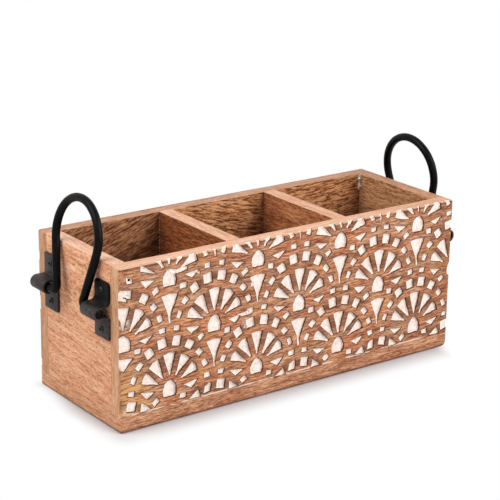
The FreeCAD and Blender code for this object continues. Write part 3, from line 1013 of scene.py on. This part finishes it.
# A nail hole and two splits in the painted recesses near the upper left corner, whose walls and
# bottoms take the black rod iron as painted shade
NAIL_HOLE = [
    (-155.7 + 1.5 * math.cos(math.radians(turn)), 120.7 + 1.4 * math.sin(math.radians(turn)))
    for turn in range(0, 360, 36)
]
FRONT_HOLES = (
    NAIL_HOLE,
    [(-161.5, 108.6), (-160.9, 107.1), (-158.3, 105.9), (-157.7, 107.6)],
    [(-158.6, 109.4), (-158.2, 108.5), (-156.2, 108.9), (-156.5, 110.0)],
)


def front_cuts():
    """All the places left out on the front, and the corner lists of all that was cut there by hand."""
    left_out, marks = list(FRONT_LEFT_OUT), list(FRONT_MARKS)
    for column in LOW_CUT_COLUMNS:
        fan_x = FAN_PITCH * column + PATTERN_SHIFT
        for (across, high), corners in LOW_CUTS:
            if fan_x + across < HALF_LENGTH - LOW_CUT_MARGIN:
                left_out.append((fan_x + across, high, LOW_CUT_REACH))
                marks.append([(fan_x + x, z, LOW_CUT_SHARE) for x, z in corners])
    return left_out, marks


# Levels of a carved panel: its face, the line on a recess's wall where the paint begins, the floor of a
# recess, the bottom of a nail hole or a split, and all that lies behind
FACE, LEDGE, FLOOR, BOTTOM, BEHIND = 0, 0.5, 1, 2, 3
# Numbers of its finishes
ON_FACE, ON_WALL, ON_PAINT, ON_RIM, ON_ENDS, ON_INSIDE, ON_HOLE_SHADE = range(7)
LEVEL_FINISHES = {FACE: ON_FACE, FLOOR: ON_PAINT, BOTTOM: ON_HOLE_SHADE}


class Panel:
    """A carved panel, worked in the plane of its face: X along, Z up, depth behind the face."""

    def __init__(self, seed, top, left_out, marks, holes):
        self.chance = random.Random(seed)
        self.points = []
        self.edges = []
        self.rings = []
        self.levels = []
        self.depths = []
        self.rim_shares = {}
        self.add(panel_outline(0.0), FACE, 0.0)
        for inset_share in EDGE_ROWS:
            self.add_line(panel_outline(EDGE_ROUND * inset_share))
        for corners in list(fan_recesses(left_out, top)) + list(marks):
            self.add_recess(hand_cut(corners, self.chance))
        for line in holes:
            self.add(line, BOTTOM, HOLE_DEPTH)
        self.triangulate()

    def add_points(self, line):
        first = len(self.points)
        self.points += [Vector(point[:2]) for point in line]
        return list(range(first, len(self.points)))

    def add(self, line, level, depth):
        ring = self.add_points(line)
        self.rings.append(ring)
        self.levels.append(level)
        self.depths.append(depth)
        return ring

    def add_line(self, line):
        self.edges += neighbours(self.add_points(line))

    def add_recess(self, line):
        depth = CARVE_DEPTH * self.chance.uniform(*DEPTH_SPREAD)
        for number, point in zip(self.add(line, FLOOR, depth), line):
            self.rim_shares[number] = point[2]
        self.add_line(list(widened(line, RIM_WEAR)))
        self.add_points(floor_points(line, self.chance))

    def triangulate(self):
        """Finds the corners and triangles of all levels, and the level to the left of each side."""
        found = delaunay_2d_cdt(self.points, self.edges, self.rings, 1, 1e-5)
        self.places, triangles, sources, owners = found[0], found[2], found[3], found[5]
        self.share = []
        self.is_rim = []
        for source in sources:
            shares = [self.rim_shares[point] for point in source if point in self.rim_shares]
            self.share.append(min(shares, default=1.0))
            self.is_rim.append(bool(shares))
        self.depth = {}
        self.triangles = []
        self.sides = {}
        for triangle, owner in zip(triangles, owners):
            if 0 not in owner:
                continue
            deepest = max(owner, key=lambda ring: (self.levels[ring], self.depths[ring]))
            level = self.levels[deepest]
            self.triangles.append((triangle, level))
            for a, b in neighbours(list(triangle)):
                self.depth.setdefault((a, level), self.depths[deepest])
                self.sides[a, b] = level

    def wall_leans(self):
        """For each corner of a recess's outline, the way that its wall leans in as it goes down."""
        leans = {}
        for (a, b), level in self.sides.items():
            if self.sides.get((b, a), level) < level:
                run = self.places[b] - self.places[a]
                inward = Vector((-run.y, run.x)).normalized()
                for corner in (a, b):
                    leans[corner] = leans.get(corner, Vector((0.0, 0.0))) + inward
        return leans

    def corner_place(self, corner, level):
        x, z = self.places[corner]
        if level == FACE:
            return Vector((x, FACE_Y + edge_fall(x, z) + RIM_DROP * self.is_rim[corner], z))
        share = self.share[corner]
        uneven = noise.noise(Vector((x, z, 7.0 * level)) * 0.33) * FLOOR_WAVER
        depth = max(LEAST_DEPTH, self.depth[corner, level] * share + uneven * share)
        lean = self.leans.get(corner)
        if lean is not None and lean.length > 0.01:
            shift = lean.normalized() * WALL_LEAN * share
            on_side = abs(x) > HALF_LENGTH - EDGE_ROUND
            on_top = z > TOP - EDGE_ROUND or z < SEAM + 0.01
            x += 0.0 if on_side else shift.x
            z += 0.0 if on_top else shift.y
        return Vector((x, FACE_Y + depth, z))

    def corner_at(self, corner, level):
        if (corner, level) not in self.made:
            vertex = self.shape.verts.new(self.corner_place(corner, level))
            vertex[self.rim_layer] = float(level == FACE and self.is_rim[corner])
            vertex[self.stain_layer] = fan_stain(*self.places[corner])
            self.made[corner, level] = vertex
        return self.made[corner, level]

    def ledge(self, corner):
        if (corner, LEDGE) not in self.made:
            ragged = noise.noise(Vector((*self.places[corner], 3.0)) * 0.5) * WALL_RAGGED
            rim, foot = self.made[corner, FACE].co, self.made[corner, FLOOR].co
            self.made[corner, LEDGE] = self.shape.verts.new(rim.lerp(foot, WALL_BARE_SHARE + ragged))
        return self.made[corner, LEDGE]

    def between(self, corner, upper, lower):
        """The corners of other walls that stand on one line down the face, from upper to lower."""
        levels = [level for level in (LEDGE, FLOOR, BOTTOM) if upper < level < lower]
        return [self.made[corner, level] for level in levels if (corner, level) in self.made]

    def add_face(self, corners, finish):
        self.shape.faces.new(corners).material_index = finish

    def add_walls(self):
        """Adds the walls of recesses and holes, and returns each border corner's next one and level."""
        made = self.made
        border = {}
        hole_walls = []
        for (a, b), level in self.sides.items():
            other = self.sides.get((b, a))
            if other is None:
                border[a] = (b, level)
            elif other == FACE and level == FLOOR:
                self.add_face([self.ledge(a), self.ledge(b), made[b, FACE], made[a, FACE]], ON_WALL)
                self.add_face([made[a, FLOOR], made[b, FLOOR], self.ledge(b), self.ledge(a)], ON_PAINT)
            elif other < level:
                hole_walls.append((a, b, other, level))
        for a, b, upper, lower in hole_walls:
            down, up = self.between(a, upper, lower), self.between(b, upper, lower)[::-1]
            wall = [made[a, lower], made[b, lower]] + up + [made[b, upper], made[a, upper]] + down
            self.add_face(wall, ON_HOLE_SHADE)
        return border

    def add_edges_and_inside(self, border):
        walk = [next(iter(border))]
        while border[walk[-1]][0] != walk[0]:
            walk.append(border[walk[-1]][0])
        behind, inside = {}, {}
        for corner in walk:
            x, z = self.places[corner]
            behind[corner] = self.shape.verts.new((x, INNER_Y - SEAM_EASE, z))
            tucked_x = max(SEAM_EASE - HALF_LENGTH, min(HALF_LENGTH - SEAM_EASE, x))
            tucked_z = max(SEAM + SEAM_EASE, min(TOP - SEAM_EASE, z))
            inside[corner] = self.shape.verts.new((tucked_x, INNER_Y, tucked_z))
        for a in walk:
            b, level = border[a]
            middle = (self.places[a] + self.places[b]) / 2
            if middle.y > TOP - EDGE_ROUND / 2:
                finish = ON_RIM
            else:
                finish = ON_ENDS if abs(middle.x) > HALF_LENGTH - EDGE_ROUND else ON_FACE
            down, up = self.between(b, level, BEHIND), self.between(a, level, BEHIND)[::-1]
            front = [self.made[a, level], self.made[b, level]]
            self.add_face(front + down + [behind[b], behind[a]] + up, finish)
            self.add_face([behind[a], behind[b], inside[b], inside[a]], finish)
        self.add_face([inside[corner] for corner in walk], ON_INSIDE)

    def built(self):
        """The panel as a closed bmesh, whose corners carry what its finish asks of them."""
        self.shape = bmesh.new()
        self.rim_layer = self.shape.verts.layers.float.new("rim")
        self.stain_layer = self.shape.verts.layers.float.new("stain")
        self.leans = self.wall_leans()
        self.made = {}
        for triangle, level in self.triangles:
            self.add_face([self.corner_at(corner, level) for corner in triangle], LEVEL_FINISHES[level])
        self.add_edges_and_inside(self.add_walls())
        return self.shape


def carved_mesh(name, seed, top, left_out=(), marks=(), holes=(), turned=False):
    shape = Panel(seed, top, left_out, marks, holes).built()
    if turned:
        half_turn = Matrix.Rotation(math.pi, 3, "Z")
        bmesh.ops.rotate(shape, cent=(0, 0, 0), matrix=half_turn, verts=shape.verts)
    waver(shape)
    return finished_mesh(name, shape, CARVED_CREASE)


# Ironwork

def to_end(side, out, y, high):
    """A place measured out from an end's face, along the pin and up from it."""
    return Vector((side * (HALF_LENGTH + out), -side * y, PIN_HEIGHT + high))


def crosswise(line, number, reach):
    """The way across a line at one of its points, from those some steps before and after it."""
    before = Vector(line[max(number - reach, 0)])
    after = Vector(line[min(number + reach, len(line) - 1)])
    run = (after - before).normalized()
    return Vector((-run.y, run.x))


def strap_line(top_bend, top_corner):
    """Middle line of a strap from its upper to its lower end, as (out, high), with its half width."""
    half = STRAP_THICKNESS / 2
    end = STRAP_HEIGHT / 2
    top_high = LOOP_MIDDLE + half + top_bend
    low_high = LOOP_MIDDLE + half + STRAP_TIGHT_BEND
    low_out = STRAP_THICKNESS + STRAP_TIGHT_BEND
    line = [(half, end - step) for step in STRAP_TOP_STEPS] + [(half, top_high)]
    line += arc((STRAP_THICKNESS + top_bend, top_high), top_bend + half, 180.0, 270.0, 8)
    line += arc((PIN_OFFSET, 0.0), LOOP_MIDDLE, 90.0, -90.0, 20)
    line.append((low_out, -LOOP_MIDDLE))
    line += arc((low_out, -low_high), STRAP_TIGHT_BEND + half, 90.0, 180.0, 5)
    line += [(half, step - end) for step in STRAP_FOOT_STEPS]
    widths = []
    for out, high in line:
        corner = top_corner if high > 0 else STRAP_SQUARE_CORNER
        widths.append(STRAP_WIDTH / 2 - rounded_back(end - abs(high), corner))
    return line, widths


def strap_mesh(node, side, y, seed, top_bend, top_corner):
    """A strip of iron bent round the pin, its edges eased by the file."""
    line, widths = strap_line(top_bend, top_corner)
    shape = bmesh.new()
    rings = []
    for number, (out, high) in enumerate(line):
        normal = crosswise(line, number, 1)
        ring = []
        for turn, across, through in ((0, 1, 1), (90, -1, 1), (180, -1, -1), (270, 1, -1)):
            corner = across * (widths[number] - STRAP_EASE), through * (STRAP_THICKNESS / 2 - STRAP_EASE)
            for span, depth in arc(corner, STRAP_EASE, turn, turn + 90, 2, 0):
                knocks = noise.noise(Vector((out * 0.3 + seed, high * 0.14, span * 0.12)))
                beaten = (knocks - 1.0) * STRAP_BEATEN
                wide = span * (1.0 + noise.noise(Vector((seed, high * 0.09, across))) * STRAP_UNEVEN)
                place = Vector((out, high)) + normal * (depth * (1.0 + beaten))
                ring.append(shape.verts.new(to_end(side, place.x, y + wide, place.y)))
        rings.append(ring)
    skinned(shape, rings)
    return finished_mesh(node + "_looks", shape, IRON_CREASE)


def cross_cut(radius, angle, height):
    """The height of a screw's head at a place, with its cross recess cut into it."""
    if height <= CROSS_LEAST_HEIGHT:
        return height
    aside = min(abs(radius * math.cos(angle)), abs(radius * math.sin(angle)))
    return height - CROSS_DEPTH * slope(aside, *CROSS_SIDE) * slope(radius, *CROSS_END)


def screws_mesh(node, side, y, seed):
    """Round heads of two screws, each with a cross recess, on stub shanks."""
    chance = random.Random(seed)
    rows = []
    for number in range(1, SCREW_ROWS + 1):
        share = number / SCREW_ROWS
        dome = SCREW_DOME * math.sqrt(1.0 - (share * SCREW_FLATTER) ** 2)
        rows.append((SCREW_HEAD / 2 * share, dome))
    rows += [(SCREW_HEAD / 2, 0.0), (SCREW_SHANK, 0.0), (SCREW_SHANK, -SCREW_STUB)]
    shape = bmesh.new()
    for high in (SCREW_SPACING / 2, -SCREW_SPACING / 2):
        turn = chance.uniform(0.0, math.pi)
        tip = shape.verts.new(to_end(side, STRAP_THICKNESS + SCREW_DOME - CROSS_DEPTH, y, high))
        rings = []
        for radius, height in rows:
            ring = []
            for number in range(SCREW_AROUND):
                angle = 2 * math.pi * number / SCREW_AROUND
                out = STRAP_THICKNESS + cross_cut(radius, angle, height)
                across = radius * math.cos(angle + turn)
                up = radius * math.sin(angle + turn)
                ring.append(shape.verts.new(to_end(side, out, y + across, high + up)))
            rings.append(ring)
        skinned(shape, rings, tip)
    return finished_mesh(node + "_looks", shape, IRON_CREASE)


def handle_line():
    """Middle line of a handle in its own plane, as (along the pin, up), and its lean on the rim."""
    reach = FOOT_BEND * math.tan((math.pi / 2 + LEG_SLANT) / 2)
    foot = STRAP_MIDDLE - STRAP_WIDTH / 2 - SHOULDER_GAP - reach
    radius = (foot + ARCH_HEIGHT * math.tan(LEG_SLANT)) * math.cos(LEG_SLANT)
    pin_end = STRAP_MIDDLE + STRAP_WIDTH / 2 - PIN_SHORT
    slant = math.degrees(LEG_SLANT)
    bend = (foot + reach, FOOT_BEND)
    leg_foot = Vector((foot + reach * math.sin(LEG_SLANT), reach * math.cos(LEG_SLANT)))
    leg_top = Vector((radius * math.cos(LEG_SLANT), ARCH_HEIGHT - radius * math.sin(LEG_SLANT)))
    half = [(pin_end + (bend[0] - pin_end) * number / PIN_STEPS, 0.0) for number in range(PIN_STEPS + 1)]
    half += arc(bend, FOOT_BEND, 270.0, 180.0 - slant, 10)
    half += [tuple(leg_foot.lerp(leg_top, number / LEG_STEPS)) for number in range(1, LEG_STEPS + 1)]
    half += arc((0.0, ARCH_HEIGHT), radius, -slant, 90.0, 26)
    out, high = PIN_OFFSET + EDGE_ROUND, PIN_DROP - EDGE_ROUND
    touch = math.asin((ROD / 2 + REST_GAP + EDGE_ROUND) / math.hypot(out, high))
    lean = math.atan2(out, high) - touch
    return half + [(-y, up) for y, up in reversed(half[:-1])], lean


def handle_mesh(node, side, seed, slide, stand):
    """A rod bent hot: its thickness and line vary a little, and its pins are filed blunt."""
    line, lean = handle_line()
    lean -= stand
    tips = [(PIN_TIP_SHARE, 0.0), (1.0, PIN_CHAMFER)]
    stations = [(line[0], *tip) for tip in tips]
    stations += [(point, 1.0, 0.0) for point in line[1:-1]]
    stations += [(line[-1], *tip) for tip in reversed(tips)]
    points = [point for point, share, back in stations]
    shape = bmesh.new()
    rings = []
    for number, (point, share, back) in enumerate(stations):
        normal = crosswise(points, number, 2)
        middle = Vector(point) - Vector((math.copysign(back, point[0]), 0.0))
        unevenness = ROD_UNEVEN * (ROD_EVEN_SHARE if middle.y < ROD_EVEN_HEIGHT else 1.0)
        ring = []
        for step in range(ROD_AROUND):
            angle = 2 * math.pi * step / ROD_AROUND
            knock = noise.noise(Vector((middle.x * 0.11, middle.y * 0.11 + seed, angle * 0.6)))
            spread = ROD / 2 * share * (1.0 + knock * unevenness)
            y, up = middle + normal * (spread * math.cos(angle))
            out = spread * math.sin(angle)
            leaned_out = PIN_OFFSET + out * math.cos(lean) - up * math.sin(lean)
            leaned_up = up * math.cos(lean) + out * math.sin(lean)
            ring.append(shape.verts.new(to_end(side, leaned_out, y - slide, leaned_up)))
        rings.append(ring)
    skinned(shape, rings)
    return finished_mesh(node + "_looks", shape, IRON_CREASE)


# The caddy

face_wood = carved_wood()
wall = recess_wall()
paint = recess_paint()
rod_iron = black_iron("rod_iron", 0.3, (2, 2, 2), (5, 5, 5), 0.04, 0.09, 0.26)
strap_iron = black_iron("strap_iron", 0.6, (22, 16, 15), (50, 39, 36), 0.35, 0.27, 0.36)
# Painted shade: on the left front and right rear straps the upper plate turns near black
top_shaded_iron = black_iron(
    "fresh_strap_iron", 0.7, (50, 46, 46), (78, 72, 71), 0.3, 0.1, 0.36, shade_heights=(96.5, 101.0),
)
screw_iron = black_iron("black_screw", 0.9, (9, 8, 8), (30, 27, 26), 0.35, 0.45, 0.3)
# Painted shade: darker deeper down in the compartments, and on the dividers towards the back
depth_shade = ("Z", 124.0, 66.0, 0.6)
back_corner_shade = ("Y", 10.0, 47.0, 0.35)
front_rim = wood(
    "front_rim_wood", X, 1.3, 0.45,
    ((206, 152, 118), (228, 178, 147), (241, 199, 170), (172, 114, 82)),
    dusks=[("X", 80.0, 165.0, 0.22)],
)
# Painted shade: darker towards the back rim's outer edge
back_rim = wood(
    "back_rim_wood", X, 1.6, 0.5,
    ((166, 116, 86), (194, 146, 116), (212, 168, 138), (136, 86, 58)),
    dusks=[("Y", 55.0, 59.5, 0.4)],
)
panel_ends = wood(
    "panel_end_grain", Z, 2.1, 0.5,
    ((184, 130, 92), (214, 160, 119), (231, 182, 144), (142, 92, 60)),
    dusks=[("Y", 20.0, 50.0, 0.25)],
)
# Painted light: lighter tones, with the face darkened below a height, so the upper part reads brighter
end_face = wood(
    "end_face_wood", Y, 3.2, 0.9,
    ((200, 131, 91), (243, 177, 134), (255, 209, 171), (142, 82, 49)),
    slants=[-0.08], dusks=[("Z", 114.0, 84.0, 0.14)],
)
# Painted light: the left end's rim is a lighter copy of the divider rim's wood
end_rim = wood(
    "end_rim_wood", Y, 4.0, 0.5,
    ((212, 158, 128), (238, 188, 158), (249, 210, 184), (178, 120, 88)),
)
# Painted shade: the right end's rim is a darker copy, darker again towards the back
right_rim = wood(
    "right_rim_wood", Y, 4.8, 0.5,
    ((172, 120, 88), (204, 152, 119), (224, 178, 147), (142, 92, 64)),
    dusks=[("Y", -30.0, 30.0, 0.2)],
)
divider_rim = wood(
    "divider_rim_wood", Y, 4.5, 0.5,
    ((200, 146, 114), (226, 174, 142), (240, 198, 170), (170, 112, 80)),
)
# Painted shade: darker deeper down, in the left compartment and towards the inner corners
side_inside = wood(
    "side_inside_wood", X, 5.1, 0.9,
    ((134, 70, 32), (216, 146, 94), (246, 190, 140), (64, 23, 4)),
    0.78, [0.35, -0.25, 0.05], [depth_shade, ("X", -40.0, -62.0, 0.36)],
    [box_mm(node)[0].x for node in ("left_divider", "right_divider", "right_end_panel")],
)
end_inside = wood(
    "end_inside_wood", Y, 6.4, 0.8,
    ((154, 98, 58), (210, 150, 104), (230, 180, 134), (96, 50, 24)),
    0.4, dusks=[depth_shade],
)
# Painted shade: the left divider is a darker copy of the right divider's wood
left_divider_wood = wood(
    "left_divider_wood", Y, 7.3, 0.8,
    ((98, 40, 12), (158, 86, 42), (194, 122, 72), (58, 22, 6)),
    0.5, dusks=[depth_shade, back_corner_shade],
)
right_divider_wood = wood(
    "right_divider_wood", Y, 7.9, 0.8,
    ((130, 66, 32), (196, 120, 74), (220, 154, 106), (84, 38, 16)),
    0.5, dusks=[depth_shade, back_corner_shade],
)
# Painted shade: both base finishes darken in the last few millimetres above the floor
base_wood = wood(
    "base_wood", X, 8.2, 0.8,
    ((146, 88, 56), (196, 137, 101), (226, 174, 136), (100, 54, 30)),
    0.3, dusks=[("Z", 3.2, 0.2, 0.85)],
)
base_ends = wood(
    "base_end_grain", Y, 8.8, 0.7,
    ((173, 115, 80), (209, 151, 112), (229, 177, 139), (114, 66, 38)),
    dusks=[("Z", 3.6, 0.2, 0.85)],
)
nail_finish = nail_steel()
glue = dried_glue()

# The front's last finish, the black rod iron, is painted shade in its nail hole and splits
put("front_panel_carved",
    carved_mesh("front_panel_looks", 11, TOP + 5.0, *front_cuts(), FRONT_HOLES),
    "front_panel", [face_wood, wall, paint, front_rim, panel_ends, side_inside, rod_iron])
put("back_panel_carved", carved_mesh("back_panel_looks", 23, TOP - BACK_LIP, turned=True),
    "back_panel", [face_wood, wall, paint, back_rim, panel_ends, side_inside])
put("base_board_eased", base_board_mesh(), "base_board", [base_wood, base_ends])
for side_name, side, rim, divider_wood, slide, stand in (
    ("left", -1, end_rim, left_divider_wood, LEFT_SLIDE, 0.0),
    ("right", 1, right_rim, right_divider_wood, RIGHT_SLIDE, RIGHT_STAND),
):
    end_node = side_name + "_end_panel"
    put(end_node + "_eased", end_board_mesh(end_node, side),
        end_node, [end_face, rim, end_inside])
    divider_node = side_name + "_divider"
    put(divider_node + "_eased", divider_mesh(divider_node),
        divider_node, [divider_wood, divider_rim])
    handle_node = side_name + "_handle"
    put(handle_node + "_rod", handle_mesh(handle_node, side, 3.0 + side, slide, stand),
        handle_node, [rod_iron])
    for place, y in (("front", -STRAP_MIDDLE), ("rear", STRAP_MIDDLE)):
        strap_node = side_name + "_" + place + "_strap"
        seed = 5.0 + side * 2.0 + math.copysign(1.0, y)
        if side * y > 0:
            iron, bend, corner = top_shaded_iron, STRAP_WIDE_BEND, STRAP_ROUND_CORNER
        else:
            iron, bend, corner = strap_iron, STRAP_TIGHT_BEND, STRAP_SQUARE_CORNER
        put(strap_node + "_bent", strap_mesh(strap_node, side, -side * y, seed, bend, corner),
            strap_node, [iron])
        put(strap_node + "_heads", screws_mesh(strap_node + "_screws", side, -side * y, seed),
            strap_node + "_screws", [screw_iron])
glue_chance = random.Random(4)
for name, node, drops in (
    ("left_divider_glue", "left_divider", DIVIDER_GLUE),
    ("right_corner_glue", "right_end_panel", CORNER_GLUE),
):
    piece = shown(name, glue_mesh(name, box_mm(node)[0].x, glue_chance, *drops), [glue])
    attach(piece, "caddy")
for node in ("front_panel_nails", "back_panel_nails", "base_nails"):
    for material_slot in frame["nodes"][node].material_slots:
        material_slot.material = nail_finish


# Studio, in metres

FLOOR_REACH = 4.0
FLOOR_DROP = 0.0002
# Half the caddy's footprint, and how much sooner the shadow ends along each axis
FOOTPRINT = (0.165, 0.06, 0.0)
SHADOW_SQUEEZE = (1.5, 1.0, 1.0)
SHADOW_RANGE = (-0.002, 0.027)
WHITE = (1.0, 1.0, 1.0, 1.0)
FLOOR_GREY = (0.68, 0.665, 0.68, 1.0)
EVEN_LIGHT = 0.44
# Lamps: name, place and power
LAMPS = (("high_left", (-1.5, 0.3, 1.7), 29.0), ("front_right", (0.9, -1.9, 1.3), 38.5))
LAMP_SIZE = 1.4
LAMP_AIM = Vector((0.0, 0.0, 0.06))
# The camera's azimuth, elevation and roll in degrees, its place, and its lens and sensor in millimetres
VIEW_ANGLES = (-36.607, 17.995, 0.902)
VIEW_PLACE = (-0.79183, -1.06307, 0.53075)
VIEW_LENS = 122.92
VIEW_SENSOR = 36.0


def studio_floor():
    """A pale floor that keeps the soft shadow about the caddy's foot and is plain white beyond it."""
    finish = new_finish("studio_white")
    past_foot = finish.vector("SUBTRACT", finish.vector("ABSOLUTE", finish.place()), FOOTPRINT)
    squeezed = finish.vector("MULTIPLY", finish.vector("MAXIMUM", past_foot), SHADOW_SQUEEZE)
    distance = finish.vector("LENGTH", squeezed, output="Value")
    # The shadow ends sooner on the right and at the back
    right, back = finish.rise_along("X", 148.0, 170.0), finish.rise_along("Y", -10.0, 55.0)
    plain = finish.rise(distance + right * 0.024 + back * 0.014, *SHADOW_RANGE)
    lit = finish.node("ShaderNodeBsdfDiffuse", {}, {"Color": FLOOR_GREY})
    white = finish.node("ShaderNodeEmission", {}, {"Color": WHITE, "Strength": 1.0})
    shader = finish.node("ShaderNodeMixShader", {}, {0: plain * finish.seen(), 1: lit, 2: white})
    finish.node("ShaderNodeOutputMaterial", {}, {"Surface": shader})
    mesh = bpy.data.meshes.new("studio_floor")
    corners = [(x * FLOOR_REACH, y * FLOOR_REACH, 0.0) for x, y in ((-1, -1), (1, -1), (1, 1), (-1, 1))]
    mesh.from_pydata(corners, [], [(0, 1, 2, 3)])
    floor = shown("studio_floor", mesh, [finish.owner])
    floor.location.z = -FLOOR_DROP
    floor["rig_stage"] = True


def studio_light():
    """Even light from all round, a large soft lamp high on the left and one in front on the right."""
    world = bpy.data.worlds.new("studio")
    bpy.context.scene.world = world
    finish = Finish(world)
    lit = finish.node("ShaderNodeBackground", {}, {"Color": WHITE, "Strength": EVEN_LIGHT})
    white = finish.node("ShaderNodeBackground", {}, {"Color": WHITE, "Strength": 1.0})
    shader = finish.node("ShaderNodeMixShader", {}, {0: finish.seen(), 1: lit, 2: white})
    finish.node("ShaderNodeOutputWorld", {}, {"Surface": shader})
    for name, place, power in LAMPS:
        lamp = bpy.data.lights.new(name, "AREA")
        lamp.size = LAMP_SIZE
        lamp.energy = power
        holder = shown(name, lamp)
        holder.location = place
        holder.rotation_euler = (LAMP_AIM - Vector(place)).to_track_quat("-Z", "Y").to_euler()


def camera():
    """The photograph's view: from the front left and above, nearly level."""
    azimuth, elevation, roll = (math.radians(angle) for angle in VIEW_ANGLES)
    back = Vector((
        math.sin(azimuth) * math.cos(elevation),
        -math.cos(azimuth) * math.cos(elevation),
        math.sin(elevation),
    ))
    level = Vector((math.cos(azimuth), math.sin(azimuth), 0.0))
    rise = back.cross(level)
    right = level * math.cos(roll) + rise * math.sin(roll)
    up = rise * math.cos(roll) - level * math.sin(roll)
    view = bpy.data.cameras.new("camera")
    view.sensor_width = VIEW_SENSOR
    view.lens = VIEW_LENS
    holder = shown("camera", view)
    turn = Matrix((right, up, back)).transposed().to_4x4()
    holder.matrix_world = Matrix.Translation(VIEW_PLACE) @ turn
    bpy.context.scene.camera = holder


studio_floor()
studio_light()
camera()
bpy.context.scene.view_settings.view_transform = "Standard"

boxes = {"cad": cad_box, "visual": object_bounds()}
{name: [list(corner) for corner in corners] for name, corners in boxes.items()}
